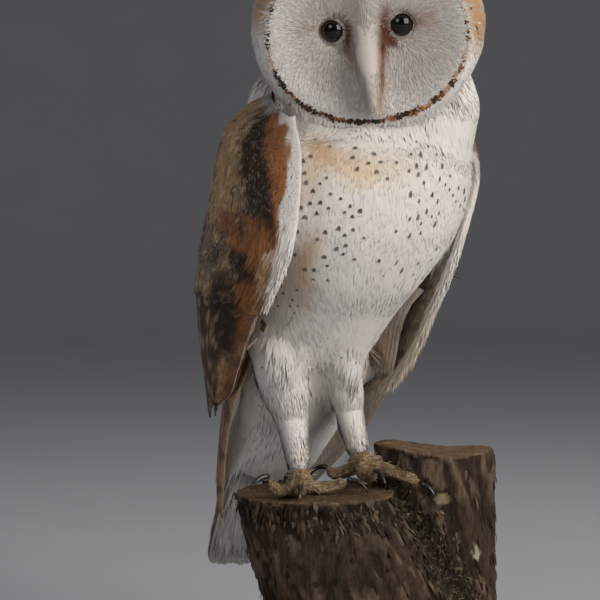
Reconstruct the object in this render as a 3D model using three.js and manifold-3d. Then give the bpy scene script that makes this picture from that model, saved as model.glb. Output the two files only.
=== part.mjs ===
// A mounted barn owl standing on a forked log, life size.
// Millimetres, +Z up. The origin is the centre of the log's flat base, and the head faces -Y.
// The bird is built in its own frame: +X to its left, -Y the way its breast faces, +Z up, with the
// origin on the log between its feet. Every solid is cut back by its neighbours, so that none overlap.

import * as THREE from "three";
import { mergeVertices } from "three/addons/utils/BufferGeometryUtils.js";
import Module from "manifold-3d";

const wasm = await Module();
wasm.setup();

// ---------------------------------------------------------------- driving dimensions

const GAP = 0.3; // between neighbouring solids
const HEADING = 28; // degrees that the breast is turned to the bird's left
const BIRD_PLACE = [-24, -3, 110]; // where the bird's frame stands on the log

const DISC_RADIUS = 53; // facial disc, centre to side
const HEAD_HALF_WIDTH = 65.5; // side of the head behind the disc
const RIM_FORWARD = 33; // disc's rim plane, ahead of the head's centre
const HEAD_BACK = 47; // nape, behind the head's centre
const EYE_RADIUS = 7.5;
const EYE_APART = 36; // between the eyes' centres
const EYE_RAISE = 3.5; // eyes above the disc's centre

const TOE_RADIUS = 3.6;
const CLAW_LENGTH = 18;

const LOG_CUT = 110; // height of the low stem's cut
const LOG_TALL = 135; // height of the high stem

const SLIVER = 0.22; // detail smaller than this is dropped after a cut

// ---------------------------------------------------------------- helpers

const V = (x, y, z) => new THREE.Vector3(x, y, z);
const radians = THREE.MathUtils.degToRad;
const lerp = THREE.MathUtils.lerp;
const bell = (x, width) => Math.exp(-((x / width) ** 2));
const smooth = (x, low, high) => THREE.MathUtils.smoothstep(x, low, high);

// A curve through rows of numbers, three at a time from column `first`. Its parameter is even from row to row.
const curveOf = (rows, first = 0) =>
  new THREE.CatmullRomCurve3(rows.map((r) => V(...r.slice(first, first + 3))));

// 0 at an end, rising to 1 over `length` of the run as the end of an ellipse does.
function roundedEnd(u, length) {
  const inside = Math.min(1, Math.min(u, 1 - u) / length);
  return Math.sqrt(1 - (1 - inside) ** 2);
}

// A closed surface of rings between two poles. at(u, v) is a point: u runs from pole to pole and v once round.
function closedSurface(at, rings, sides) {
  const points = [at(0, 0)];
  for (let i = 1; i < rings; i++)
    for (let j = 0; j < sides; j++) points.push(at(i / rings, j / sides));
  points.push(at(1, 0));
  const ring = (i, j) => 1 + (i - 1) * sides + (j % sides);
  const index = [];
  for (let j = 0; j < sides; j++) {
    index.push(0, ring(1, j + 1), ring(1, j));
    for (let i = 1; i < rings - 1; i++) {
      index.push(ring(i, j), ring(i, j + 1), ring(i + 1, j));
      index.push(ring(i + 1, j), ring(i, j + 1), ring(i + 1, j + 1));
    }
    index.push(points.length - 1, ring(rings - 1, j), ring(rings - 1, j + 1));
  }
  return new THREE.BufferGeometry().setFromPoints(points).setIndex(index);
}

// Rows of [x, y, z, half width, half depth, squareness] become a body along the curve through their centres.
// Widths lie along `across`. relief(u, angle) scales the section, for bark and the like.
function loft(rows, { rings, sides, cap = 0.12, across = V(1, 0, 0), relief = () => 1 }) {
  const spine = curveOf(rows);
  const size = curveOf(rows, 3);
  return closedSurface(
    (u, v) => {
      const along = spine.getTangent(u);
      const wide = across.clone().addScaledVector(along, -across.dot(along)).normalize();
      const deep = along.clone().cross(wide);
      const half = size.getPoint(u);
      const angle = 2 * Math.PI * v;
      const power = 2 / half.z;
      const round = (x) => Math.sign(x) * Math.abs(x) ** power;
      const scale = roundedEnd(u, cap) * relief(u, angle);
      return spine
        .getPoint(u)
        .addScaledVector(wide, half.x * scale * round(Math.cos(angle)))
        .addScaledVector(deep, half.y * scale * round(Math.sin(angle)));
    },
    rings,
    sides,
  );
}

// Rows of { lead, trail, camber, thick } become a thin bowed shell: the folded wing, its quills or the tail.
// `out` is a vector on the side that the camber bulges to.
function shell(rows, { rings, sides, out, cap = 0.1 }) {
  const lead = curveOf(rows.map((r) => r.lead));
  const trail = curveOf(rows.map((r) => r.trail));
  const bow = curveOf(rows.map((r) => [r.camber, r.thick, 0]));
  return closedSurface(
    (u, v) => {
      const front = lead.getPoint(u);
      const back = trail.getPoint(u);
      const middle = front.clone().add(back).multiplyScalar(0.5);
      const along = lead.getTangent(u).add(trail.getTangent(u));
      const normal = along.cross(front.clone().sub(back)).normalize();
      if (normal.dot(out) < 0) normal.negate();
      const { x: camber, y: thick } = bow.getPoint(u);
      const end = roundedEnd(u, cap);
      const side = Math.cos(2 * Math.PI * v);
      const lift = camber * (1 - side * side) + (thick / 2) * end * Math.sin(2 * Math.PI * v);
      return middle
        .addScaledVector(front.sub(back), (side * end) / 2)
        .addScaledVector(normal, end > 0 ? lift : camber);
    },
    rings,
    sides,
  );
}

// The geometry as a solid, facing outwards whichever way its rings ran.
function solidOf(geometry) {
  const bare = new THREE.BufferGeometry();
  bare.setAttribute("position", geometry.getAttribute("position"));
  bare.setIndex(geometry.index);
  const merged = mergeVertices(bare, 1e-4);
  const vertProperties = merged.attributes.position.array;
  const triVerts = new Uint32Array(merged.index.array);
  const solid = new wasm.Manifold(new wasm.Mesh({ numProp: 3, vertProperties, triVerts }));
  return solid.volume() > 0
    ? solid
    : new wasm.Manifold(
        new wasm.Mesh({ numProp: 3, vertProperties, triVerts: triVerts.reverse() }),
      );
}

function geometryOf(solid) {
  const { vertProperties, triVerts, numProp } = solid.getMesh();
  const geometry = new THREE.BufferGeometry();
  geometry.setAttribute("position", new THREE.BufferAttribute(vertProperties, numProp));
  geometry.setIndex(new THREE.BufferAttribute(triVerts, 1));
  return geometry;
}

// The solid with each vertex moved out by `distance`, to cut its neighbours with.
function grown(solid, distance = GAP) {
  const geometry = geometryOf(solid);
  geometry.computeVertexNormals();
  const { position, normal } = geometry.attributes;
  for (let i = 0; i < position.count; i++) {
    const p = V().fromBufferAttribute(position, i);
    p.addScaledVector(V().fromBufferAttribute(normal, i), distance);
    position.setXYZ(i, p.x, p.y, p.z);
  }
  return solidOf(geometry);
}

const largestOf = (solid) => solid.decompose().sort((a, b) => b.volume() - a.volume())[0];

// The largest piece of `solid` once its neighbours, grown by the gap, are cut from it. A neighbour that
// the simplifying brings it back into is cut from it again.
function cutBack(solid, ...neighbours) {
  const bounds = (s) => new THREE.Box3(V(...s.boundingBox().min), V(...s.boundingBox().max));
  const box = bounds(solid);
  const near = neighbours.filter((n) => bounds(n).intersectsBox(box));
  const left = near.reduce((rest, n) => rest.subtract(grown(n)), solid);
  const overlapping = (rest, n) => rest.intersect(n).volume() > 0;
  return near.reduce(
    (rest, n) => (overlapping(rest, n) ? largestOf(rest.subtract(grown(n, GAP / 3)).subtract(n)) : rest),
    largestOf(left).simplify(SLIVER),
  );
}

const union = (solids) => solids.reduce((a, b) => a.add(b));
const placed = (solid, matrix) => solidOf(geometryOf(solid).applyMatrix4(matrix));

const finishes = {
  white: { color: 0xe6dfd6, roughness: 0.9 },
  buff: { color: 0xb07a3c, roughness: 0.85 },
  quill: { color: 0x8a5a2e, roughness: 0.8 },
  toeSkin: { color: 0x8c7350, roughness: 0.7 },
  horn: { color: 0x241d18, roughness: 0.25 },
  billHorn: { color: 0xd8c6ac, roughness: 0.4 },
  eyeGlass: { color: 0x080606, roughness: 0.05 },
  bark: { color: 0x4a382b, roughness: 0.95 },
};

function part(name, solid, finish) {
  const mesh = new THREE.Mesh(
    geometryOf(solid),
    new THREE.MeshStandardMaterial({ metalness: 0, ...finishes[finish] }),
  );
  mesh.name = name;
  return mesh;
}

// ---------------------------------------------------------------- groups

const owl = new THREE.Group();
const bird = new THREE.Group();
bird.position.set(...BIRD_PLACE);
bird.rotation.z = radians(HEADING);
owl.add(bird);

// ---------------------------------------------------------------- head
// Head frame: +X to the bird's left, -Y out of the face, +Z to the crown. Angles run round the disc from the chin.

const headGroup = new THREE.Group();
headGroup.position.set(-5.2, -44, 258);
headGroup.rotation.set(radians(15), radians(-5), radians(-32), "ZYX");
bird.add(headGroup);

// Heart-shaped rim: full at the cheeks, drawn in at the chin and notched over the brow.
function rimRadius(angle) {
  const up = -Math.cos(angle);
  const chin = 0.15 * bell(Math.PI - Math.abs(Math.PI - angle), 0.85);
  const notch = 0.2 * bell(Math.PI - angle, 0.34);
  return DISC_RADIUS * (1 - chin - notch - 0.03 * Math.max(0, up));
}

// Radius of the head behind the rim: broad at the sides, lower over the crown.
function outerRadius(angle) {
  const side = Math.abs(Math.sin(angle));
  const top = Math.max(0, -Math.cos(angle));
  return lerp(54, HEAD_HALF_WIDTH, side ** 1.6) + top;
}

// How far forward of the head's centre the face lies at x, z: a dish with a ridge from brow to bill.
const DISH_DEPTH = 9;
const RIDGE_RISE = 11;
function faceForward(x, z, share) {
  const dish = DISH_DEPTH * (1 - share ** 3);
  const low = smooth(-z, -20, 30);
  const ridge = RIDGE_RISE * (0.75 + 0.5 * low) * bell(x, lerp(9.5, 6, low));
  const fade = 1 - smooth(share, 0.78, 1);
  const brow = 2.5 * bell(Math.abs(x) - 17, 11) * bell(z - 17, 8);
  return RIM_FORWARD - dish + (ridge + brow) * fade;
}

const FACE_SHARE = 0.5; // of the rings that lie on the face
const RIM_SHARE = 0.64; // where the rings reach the widest part of the head
const WIDEST = -6; // y of the widest part
const RIDGE_CROWDING = 0.3; // radians by which the sides of the grid draw in towards the ridge
function headPoint(u, v) {
  const angle = 2 * Math.PI * v - RIDGE_CROWDING * Math.sin(4 * Math.PI * v);
  const rim = rimRadius(angle);
  const outer = outerRadius(angle);
  const [x, z] = [Math.sin(angle), -Math.cos(angle)];
  if (u <= FACE_SHARE) {
    const share = u / FACE_SHARE;
    const r = rim * share;
    return V(r * x, -faceForward(r * x, r * z, share), r * z);
  }
  if (u <= RIM_SHARE) {
    const turn = ((u - FACE_SHARE) / (RIM_SHARE - FACE_SHARE)) * (Math.PI / 2);
    const r = lerp(rim, outer, Math.sin(turn));
    return V(r * x, lerp(-RIM_FORWARD, WIDEST, 1 - Math.cos(turn)), r * z);
  }
  const turn = ((u - RIM_SHARE) / (1 - RIM_SHARE)) * (Math.PI / 2);
  const r = outer * Math.cos(turn) ** 0.85;
  return V(r * x, lerp(WIDEST, HEAD_BACK, Math.sin(turn)), r * z);
}

// Each eye is a glass ball, turned out from the bill and sunk in the dish.
const EYE_FORWARD = 20.5;
const eyePlace = (side) => V((side * EYE_APART) / 2, -EYE_FORWARD, EYE_RAISE);
const eyeBall = solidOf(new THREE.SphereGeometry(EYE_RADIUS, 12, 8));
const eyeSocket = solidOf(new THREE.SphereGeometry(EYE_RADIUS + GAP, 12, 8));

// The bill curves down out of the ridge and hooks at its tip.
const bill = solidOf(
  loft(
    [
      [0, -32, -12, 4.4, 4.6, 2],
      [0, -37, -21, 4.2, 4.6, 2],
      [0, -40, -30, 3, 4, 2],
      [0, -39.5, -39, 0.9, 1.4, 2],
    ],
    { rings: 8, sides: 10, cap: 0.16 },
  ),
);

const headWhole = solidOf(closedSurface(headPoint, 17, 36));
const sockets = [-1, 1].map((side) => eyeSocket.translate(eyePlace(side).toArray()));
const head = cutBack(headWhole.subtract(union(sockets)), bill);
headGroup.add(part("head", head, "white"));
headGroup.add(part("bill", bill, "billHorn"));
for (const [side, name] of [
  [-1, "eye_right"],
  [1, "eye_left"],
]) {
  const eye = part(name, eyeBall, "eyeGlass");
  eye.position.copy(eyePlace(side));
  headGroup.add(eye);
}

headGroup.updateMatrix();
const headInBird = placed(headWhole, headGroup.matrix);
const billInBird = placed(bill, headGroup.matrix);

// ---------------------------------------------------------------- wings
// Rows run from the shoulder to the tip, for the bird's left side. The leading edge lies along the breast.

const RIGHT_WING = [
  { lead: [53, -46, 206], trail: [37, -14, 226], camber: 8, thick: 12 },
  { lead: [53, -54, 184], trail: [34, 14, 210], camber: 25, thick: 17 },
  { lead: [55, -49, 142], trail: [26, 42, 166], camber: 30, thick: 15 },
  { lead: [60, -24, 104], trail: [17, 66, 124], camber: 30, thick: 12 },
  { lead: [56, 8, 74], trail: [13, 86, 86], camber: 23, thick: 9 },
  { lead: [46, 50, 41], trail: [24, 90, 46], camber: 9, thick: 5 },
];
// The left wing stands off from the shoulder, flatter, with its tip drawn forward.
const LEFT_WING = [
  { lead: [54, -38, 208], trail: [36, -8, 226], camber: 8, thick: 12 },
  { lead: [65, -43, 178], trail: [38, 18, 206], camber: 15, thick: 15 },
  { lead: [60, -35, 142], trail: [30, 44, 162], camber: 17, thick: 14 },
  { lead: [55, -15, 106], trail: [20, 68, 124], camber: 17, thick: 11 },
  { lead: [52, 8, 74], trail: [15, 87, 86], camber: 13, thick: 9 },
  { lead: [46, 46, 45], trail: [24, 89, 48], camber: 5, thick: 5 },
];
// The long quills come out from under the wing's leading edge and run back to a point over the tail.
const QUILL_ROWS = [
  { lead: [44, 2, 84], trail: [33, 40, 96], camber: 2, thick: 4.5 },
  { lead: [48.5, 28, 48], trail: [38, 60, 60], camber: 2.5, thick: 4.5 },
  { lead: [40, 59, 16], trail: [31, 84, 26], camber: 2, thick: 4 },
  { lead: [28, 90, -12], trail: [23, 104, -7], camber: 1.2, thick: 3.2 },
  { lead: [19, 106, -34], trail: [18, 111, -32], camber: 0.6, thick: 2.4 },
];
const mirrored = (rows) =>
  rows.map((row) => ({
    ...row,
    lead: [-row.lead[0], ...row.lead.slice(1)],
    trail: [-row.trail[0], ...row.trail.slice(1)],
  }));
const WINGS = {
  right: { side: -1, wing: mirrored(RIGHT_WING), quill: mirrored(QUILL_ROWS) },
  left: { side: 1, wing: LEFT_WING, quill: QUILL_ROWS },
};

const wings = {};
const quills = {};
for (const [name, { side, wing, quill }] of Object.entries(WINGS)) {
  const out = V(side, 0, 0);
  const whole = solidOf(shell(wing, { rings: 15, sides: 14, out }));
  const blade = solidOf(shell(quill, { rings: 11, sides: 8, out, cap: 0.1 }));
  wings[name] = cutBack(whole, headInBird);
  quills[name] = cutBack(blade, wings[name]);
  bird.add(part(`wing_${name}`, wings[name], "buff"));
  bird.add(part(`primaries_${name}`, quills[name], "quill"));
}
const wingSolids = [...Object.values(wings), ...Object.values(quills)];

// ---------------------------------------------------------------- neck and trunk

const NECK_TURN = 20; // degrees that the neck is turned back towards the head's heading
const neckWhole = solidOf(
  loft(
    [
      [4, -26, 178, 60, 38, 2.1],
      [6, -22, 198, 67, 40, 2.2],
      [6, -15, 216, 67, 34, 2.2],
      [3, -11, 236, 60, 27, 2.1],
      [0, -9, 254, 42, 20, 2],
    ],
    {
      rings: 8,
      sides: 22,
      cap: 0.2,
      across: V(Math.cos(radians(NECK_TURN)), -Math.sin(radians(NECK_TURN)), 0),
    },
  ),
);
const facePieces = [headInBird, billInBird];
const neck = cutBack(neckWhole, ...facePieces, ...wingSolids);
bird.add(part("neck", neck, "white"));

const trunkWhole = solidOf(
  loft(
    [
      [-1, 28, 78, 37, 27, 2],
      [-1, 16, 98, 40, 33, 2],
      [-1, 5, 118, 47, 38, 2.1],
      [0, -9, 140, 57, 43, 2.15],
      [1, -22, 164, 64, 46, 2.2],
      [2, -28, 186, 65, 45, 2.2],
      [2, -28, 204, 60, 38, 2.1],
    ],
    { rings: 13, sides: 20, cap: 0.1 },
  ),
);
const trunk = cutBack(trunkWhole, neck, ...wingSolids, ...facePieces);
bird.add(part("trunk", trunk, "white"));

// ---------------------------------------------------------------- legs

const LEGS = {
  right: {
    foot: [-26, -4, 10],
    heel: [-18.5, 21, 42],
    knee: [-36, 11, 90],
    thighSize: [[9.5, 10], [13.5, 15], [18, 19], [19, 22]],
  },
  left: {
    foot: [13, -3, 18],
    heel: [16, 17, 46],
    knee: [4, 4, 84],
    thighSize: [[8.5, 9.5], [10, 11], [13, 16], [15, 18]],
  },
};
const CLAW_BEND = 105; // degrees that a claw turns through, base to tip
const CLAW_ROOT = 2.5; // how far a claw starts inside its toe
const CLAW_COCK = 20; // degrees that a claw sets off above the line of its toe
const MOST_LIFT = 25; // degrees above level, at most
const TOES = ["hind", "inner", "middle", "outer"];

const along = (from, to, share) => from.map((x, i) => lerp(x, to[i], share));

// Each toe's path in the bird's frame, ankle to claw, as points past the ankle, and the way its claw sets off.
const TOE_PATHS = {
  right: {
    hind: [[3, 9, -6], [5, 17, -6], [6, 23, -3]],
    inner: [[9, -4, -7], [17, -9, -6], [23, -14, -3]],
    middle: [[-5, -10, -7], [-9, -18, -6], [-13, -25, -3]],
    outer: [[-9, -4, -7], [-17, -7, -7], [-24, -8, 1]],
  },
  left: {
    hind: [[-5, 7, -8], [-9, 13, -10], [-12, 18, -7]],
    inner: [[-4, -10, -8], [-5, -19, -9], [-5, -26, -5]],
    middle: [[10, -10, -6], [19, -19, -10], [25, -26, -13]],
    outer: [[11, 0, -3], [21, 0, -2], [29, -1, 1]],
  },
};

// A claw: a tapering horn bent down from where its toe ends.
function clawRows(from, heading, lift) {
  const rows = [];
  const steps = 5;
  const radius = CLAW_LENGTH / radians(CLAW_BEND);
  let [reach, height] = [0, 0];
  for (let i = 0; i <= steps; i++) {
    const share = i / steps;
    const size = lerp(2.3, 0.35, share ** 1.3);
    rows.push([
      from[0] + reach * heading[0],
      from[1] + reach * heading[1],
      from[2] + height,
      size,
      size * 1.15,
      2,
    ]);
    const tilt = radians(lift - CLAW_BEND * (share + 0.5 / steps));
    const step = (radius * radians(CLAW_BEND)) / steps;
    reach += step * Math.cos(tilt);
    height += step * Math.sin(tilt);
  }
  return rows;
}

const feetSolids = [];
const legSolids = [];
const standing = []; // each foot whole, with its claws
for (const [name, { foot, heel, knee, thighSize }] of Object.entries(LEGS)) {
  const shankWhole = solidOf(
    loft(
      [
        [...along(foot, heel, -0.05), 6.6, 7, 2],
        [...along(foot, heel, 0.3), 6.8, 7.6, 2],
        [...along(foot, heel, 0.7), 7.6, 8.8, 2],
        [...along(foot, heel, 1.15), 8.4, 10, 2],
      ],
      { rings: 7, sides: 12, cap: 0.2 },
    ),
  );
  const thighShares = [-0.16, 0.2, 0.65, 1.2];
  const thighWhole = solidOf(
    loft(
      thighShares.map((share, i) => [...along(heel, knee, share), ...thighSize[i], 2]),
      { rings: 9, sides: 16, cap: 0.25 },
    ),
  );
  const thigh = cutBack(thighWhole, trunk, ...wingSolids);
  const claws = [];
  const toes = TOES.map((toe) => {
    const path = TOE_PATHS[name][toe].map((p) => p.map((x, i) => x + foot[i]));
    const [before, end] = path.slice(-2);
    const level = Math.hypot(end[0] - before[0], end[1] - before[1]);
    const heading = [(end[0] - before[0]) / level, (end[1] - before[1]) / level];
    const slope = THREE.MathUtils.radToDeg(Math.atan2(end[2] - before[2], level));
    const lift = Math.min(MOST_LIFT, slope + CLAW_COCK);
    const root = end.map((x, i) => x - CLAW_ROOT * [...heading, 0][i]);
    claws.push([
      toe,
      solidOf(
        loft(clawRows(root, heading, lift), { rings: 7, sides: 6, cap: 0.1, across: V(0, 0, 1) }),
      ),
    ]);
    const sizes = [1.2, 1.08, 1, 0.85];
    const rows = [foot, ...path].map((p, i) => [
      p[0],
      p[1],
      i ? p[2] : p[2] - 4,
      TOE_RADIUS * sizes[i],
      TOE_RADIUS * sizes[i] * 0.92,
      2,
    ]);
    return solidOf(loft(rows, { rings: 6, sides: 6, cap: 0.18, across: V(0, 0, 1) }));
  });
  const pad = solidOf(new THREE.SphereGeometry(7, 8, 5)).translate([foot[0], foot[1], foot[2] - 2]);
  const footWhole = union([pad, ...toes]);
  const shank = cutBack(shankWhole, thigh, trunk);
  const footSolid = cutBack(
    footWhole,
    shankWhole,
    ...claws.map(([, claw]) => claw),
    ...feetSolids,
  );
  bird.add(part(`thigh_${name}`, thigh, "white"));
  bird.add(part(`shank_${name}`, shank, "white"));
  bird.add(part(`foot_${name}`, footSolid, "toeSkin"));
  for (const [toe, claw] of claws) bird.add(part(`claw_${name}_${toe}`, claw, "horn"));
  feetSolids.push(footSolid, ...claws.map(([, claw]) => claw));
  legSolids.push(thigh, shank);
  standing.push(union([footWhole, ...claws.map(([, claw]) => claw)]));
}

// ---------------------------------------------------------------- vent and tail

// The soft plumage under the tail hangs behind the legs, and fills the space between them.
const ventWhole = solidOf(
  loft(
    [
      [0, 32, 94, 44, 30, 2],
      [1, 40, 66, 43, 24, 2],
      [0, 53, 42, 37, 21, 2.1],
      [0, 71, 16, 30, 15, 2.2],
      [0, 84, -8, 26, 9, 2.3],
    ],
    { rings: 8, sides: 16, cap: 0.16 },
  ),
);
const vent = cutBack(ventWhole, trunk, ...wingSolids, ...legSolids, ...feetSolids);
bird.add(part("vent", vent, "white"));

const TAIL_ROWS = [
  { lead: [18, 66, 58], trail: [-18, 66, 58], camber: 3, thick: 10 },
  { lead: [23, 85, 20], trail: [-23, 85, 20], camber: 3, thick: 8 },
  { lead: [25, 100, -16], trail: [-25, 100, -16], camber: 2.5, thick: 5 },
  { lead: [26, 110, -42], trail: [-26, 110, -42], camber: 2, thick: 4 },
  { lead: [25, 116, -58], trail: [-25, 116, -58], camber: 1.5, thick: 3 },
];
const tailWhole = solidOf(
  shell(TAIL_ROWS, { rings: 9, sides: 12, out: V(0, 1, 0), cap: 0.12 }),
);
const tail = cutBack(tailWhole, trunk, vent, ...wingSolids);
bird.add(part("tail", tail, "white"));

// ---------------------------------------------------------------- log
// A trunk that forks: a low stem in front, sawn off under the feet, and a taller one behind it.

const furrows = (lean) => (u, angle) =>
  1 + 0.018 * Math.sin(9 * angle + 4 * lean * u) + 0.014 * Math.sin(17 * angle - 5 * u + 2 * lean);

const lowStem = solidOf(
  loft(
    [
      [2, 0, -40, 63, 54, 2.1],
      [0, 0, -15, 61, 53, 2.1],
      [-5, -2, 20, 58, 50, 2.1],
      [-20, -5, 65, 48, 44, 2.1],
      [-40, -7, 110, 41, 38, 2.1],
      [-50, -8, 150, 38, 36, 2.1],
    ],
    { rings: 9, sides: 24, cap: 0.04, relief: furrows(1) },
  ),
);
const highStem = solidOf(
  loft(
    [
      [8, 4, -40, 54, 48, 2.1],
      [12, 6, -10, 52, 47, 2.1],
      [20, 12, 30, 46, 42, 2.1],
      [30, 20, 90, 36, 35, 2.1],
      [31, 22, 130, 34, 34, 2.1],
      [31, 22, 175, 34, 34, 2.1],
    ],
    { rings: 9, sides: 24, cap: 0.04, relief: furrows(-1) },
  ),
);

// A slab as large as the log, whose upper face dips by `sag` in its middle and tilts down to the front.
const WIDE = 260;
function cutter(height, { tilt = 0, sag = 0, centre = [0, 0] }) {
  const slab = new THREE.BoxGeometry(WIDE, WIDE, WIDE, 16, 4, 1).translate(0, 0, WIDE / 2);
  const at = slab.attributes.position;
  for (let i = 0; i < at.count; i++) {
    if (at.getZ(i) > 1) continue;
    const [x, y] = [at.getX(i), at.getY(i)];
    at.setZ(i, y * Math.tan(radians(tilt)) - sag * bell(x, 26) * (1 + 0.2 * Math.sin(x / 5)));
  }
  return slab.translate(...centre, height);
}
const bareSlab = (geometry) => {
  geometry.deleteAttribute("normal");
  geometry.deleteAttribute("uv");
  return solidOf(geometry);
};
const low = lowStem.subtract(bareSlab(cutter(LOG_CUT, { tilt: 3, centre: [-38, 0] })));
const high = highStem.subtract(bareSlab(cutter(LOG_TALL, { sag: 6, centre: [42, 20] })));
const below = bareSlab(new THREE.BoxGeometry(WIDE, WIDE, WIDE).translate(0, 0, -WIDE / 2));

bird.updateMatrix();
const inWorld = (solid) => placed(solid, bird.matrix);
const onLog = [...standing, vent, tail, ...Object.values(quills)].map(inWorld);
const log = cutBack(low.add(high).subtract(below), ...onLog);
owl.add(part("log", log, "bark"));

export default owl;
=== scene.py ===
"""A life-size barn owl, mounted standing on a forked log: its skin, plumage, eyes, horn and bark,
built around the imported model. Metres, +Z up; the owl's face looks along -Y."""

import math

import bmesh
import bpy
import numpy as np
from mathutils import Euler, Matrix, Vector, noise
from mathutils.bvhtree import BVHTree


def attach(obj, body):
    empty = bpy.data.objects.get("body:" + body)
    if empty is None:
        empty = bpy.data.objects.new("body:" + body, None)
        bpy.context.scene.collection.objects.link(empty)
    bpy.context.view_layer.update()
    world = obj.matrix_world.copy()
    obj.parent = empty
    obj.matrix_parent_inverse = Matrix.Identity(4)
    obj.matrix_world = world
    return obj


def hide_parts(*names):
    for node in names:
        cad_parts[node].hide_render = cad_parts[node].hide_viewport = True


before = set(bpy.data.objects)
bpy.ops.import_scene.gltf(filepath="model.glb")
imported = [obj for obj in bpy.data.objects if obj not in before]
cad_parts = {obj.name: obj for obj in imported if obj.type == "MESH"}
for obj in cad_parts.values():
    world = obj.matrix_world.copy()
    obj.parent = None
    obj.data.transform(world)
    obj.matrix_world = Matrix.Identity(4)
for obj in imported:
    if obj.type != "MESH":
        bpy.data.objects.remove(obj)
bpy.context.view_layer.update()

# ---------------------------------------------------------------- driving dimensions

MM = 0.001
BODY = "root"

HEADING = 28  # degrees that the breast is turned to the owl's left
BIRD_PLACE = (-24, -3, 110)  # mm: where the owl's own frame stands on the log
HEAD_PLACE = (-5.2, -44, 258)  # mm: the head's centre in the owl's frame
HEAD_TURN = (15, -5, -32)  # degrees: the head's nod, cock and turn

DISC_RADIUS = 53  # mm, as are all the sizes of the head that follow
RIM_FORWARD = 33
EYE_RADIUS = 7.5
EYE_APART = 36
EYE_RAISE = 3.5
EYE_FORWARD = 20.5

SKIN_VOXEL = 1.8 * MM
SKIN_GROWTH = 0.5 * MM  # solids are grown by this before they are joined, to close the gaps between them

# Rows from shoulder to tip: leading edge, trailing edge, camber, thickness, in mm for the owl's left side.
RIGHT_WING = [
    ((53, -46, 206), (37, -14, 226), 8, 12),
    ((53, -54, 184), (34, 14, 210), 25, 17),
    ((55, -49, 142), (26, 42, 166), 30, 15),
    ((60, -24, 104), (17, 66, 124), 30, 12),
    ((56, 8, 74), (13, 86, 86), 23, 9),
    ((46, 50, 41), (24, 90, 46), 9, 5),
]
LEFT_WING = [
    ((54, -38, 208), (36, -8, 226), 8, 12),
    ((65, -43, 178), (38, 18, 206), 15, 15),
    ((60, -35, 142), (30, 44, 162), 17, 14),
    ((55, -15, 106), (20, 68, 124), 17, 11),
    ((52, 8, 74), (15, 87, 86), 13, 9),
    ((46, 46, 45), (24, 89, 48), 5, 5),
]
QUILLS = [
    ((44, 2, 84), (33, 40, 96), 2, 4.5),
    ((48.5, 28, 48), (38, 60, 60), 2.5, 4.5),
    ((40, 59, 16), (31, 84, 26), 2, 4),
    ((28, 90, -12), (23, 104, -7), 1.2, 3.2),
    ((19, 106, -34), (18, 111, -32), 0.6, 2.4),
]
TAIL = [
    ((18, 66, 58), (-18, 66, 58), 3, 10),
    ((23, 85, 20), (-23, 85, 20), 3, 8),
    ((25, 100, -16), (-25, 100, -16), 2.5, 5),
    ((26, 110, -42), (-26, 110, -42), 2, 4),
    ((25, 116, -58), (-25, 116, -58), 1.5, 3),
]

# ---------------------------------------------------------------- colours (linear)


def srgb(red, green, blue):
    """A colour given in the usual 0-255 steps, as the linear numbers that a shader takes."""
    steps = np.array([red, green, blue]) / 255
    return np.where(steps <= 0.04045, steps / 12.92, ((steps + 0.055) / 1.055) ** 2.4)


WHITE = srgb(236, 230, 223)
FACE_WHITE = srgb(212, 202, 193)
CREAM = srgb(222, 196, 160)
BUFF = srgb(204, 164, 118)
GOLD = srgb(184, 136, 88)
RUFOUS = srgb(152, 96, 54)
RED_BROWN = srgb(112, 58, 34)
UMBER = srgb(58, 38, 27)
SOOT = srgb(28, 20, 17)
SLATE = srgb(112, 100, 92)
PALE_GREY = srgb(190, 182, 176)

# ---------------------------------------------------------------- helpers


def smooth(x, low, high):
    share = np.clip((np.asarray(x, float) - low) / (high - low), 0, 1)
    return share * share * (3 - 2 * share)


def bell(x, width):
    return np.exp(-((np.asarray(x, float) / width) ** 2))


def blend(a, b, share):
    """Mixes two colours, or rows of colours, by a row of shares."""
    share = np.asarray(share, float)[..., None]
    return np.asarray(a) * (1 - share) + np.asarray(b) * share


def unit(rows):
    return rows / np.maximum(np.linalg.norm(rows, axis=-1, keepdims=True), 1e-12)


def across(rows, normals):
    """The part of each vector that lies in the surface, at unit length."""
    return unit(rows - (rows * normals).sum(-1, keepdims=True) * normals)


class Place:
    """A frame turned and set in another, in mm, that takes points to the world, in metres, and back."""

    def __init__(self, place, degrees, inside=None):
        turn = Euler([math.radians(d) for d in degrees]).to_matrix()
        self.turn = np.array(turn)
        self.place = np.array(place, float)
        if inside:
            self.place = inside.turn @ self.place + inside.place
            self.turn = inside.turn @ self.turn

    def world(self, points):
        return (np.asarray(points, float) @ self.turn.T + self.place) * MM

    def local(self, points):
        return (np.asarray(points, float) / MM - self.place) @ self.turn

    def aim(self, directions):
        return np.asarray(directions, float) @ self.turn.T


bird = Place(BIRD_PLACE, (0, 0, HEADING))
head = Place(HEAD_PLACE, HEAD_TURN, bird)


def curve_through(rows, share):
    """A smooth curve through evenly spaced rows of numbers, at shares from 0 to 1, and on a little past them."""
    rows = np.asarray(rows, float)
    last = len(rows) - 1
    at = np.asarray(share, float) * last
    start = np.clip(at.astype(int), 0, last - 1)
    x = (at - start)[..., None]
    padded = np.vstack([2 * rows[0] - rows[1], rows, 2 * rows[-1] - rows[-2]])
    a, b, c, d = (padded[start + i] for i in range(4))
    return 0.5 * (2 * b + (c - a) * x + (2 * a - 5 * b + 4 * c - d) * x**2 + (3 * b - a - 3 * c + d) * x**3)


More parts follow.
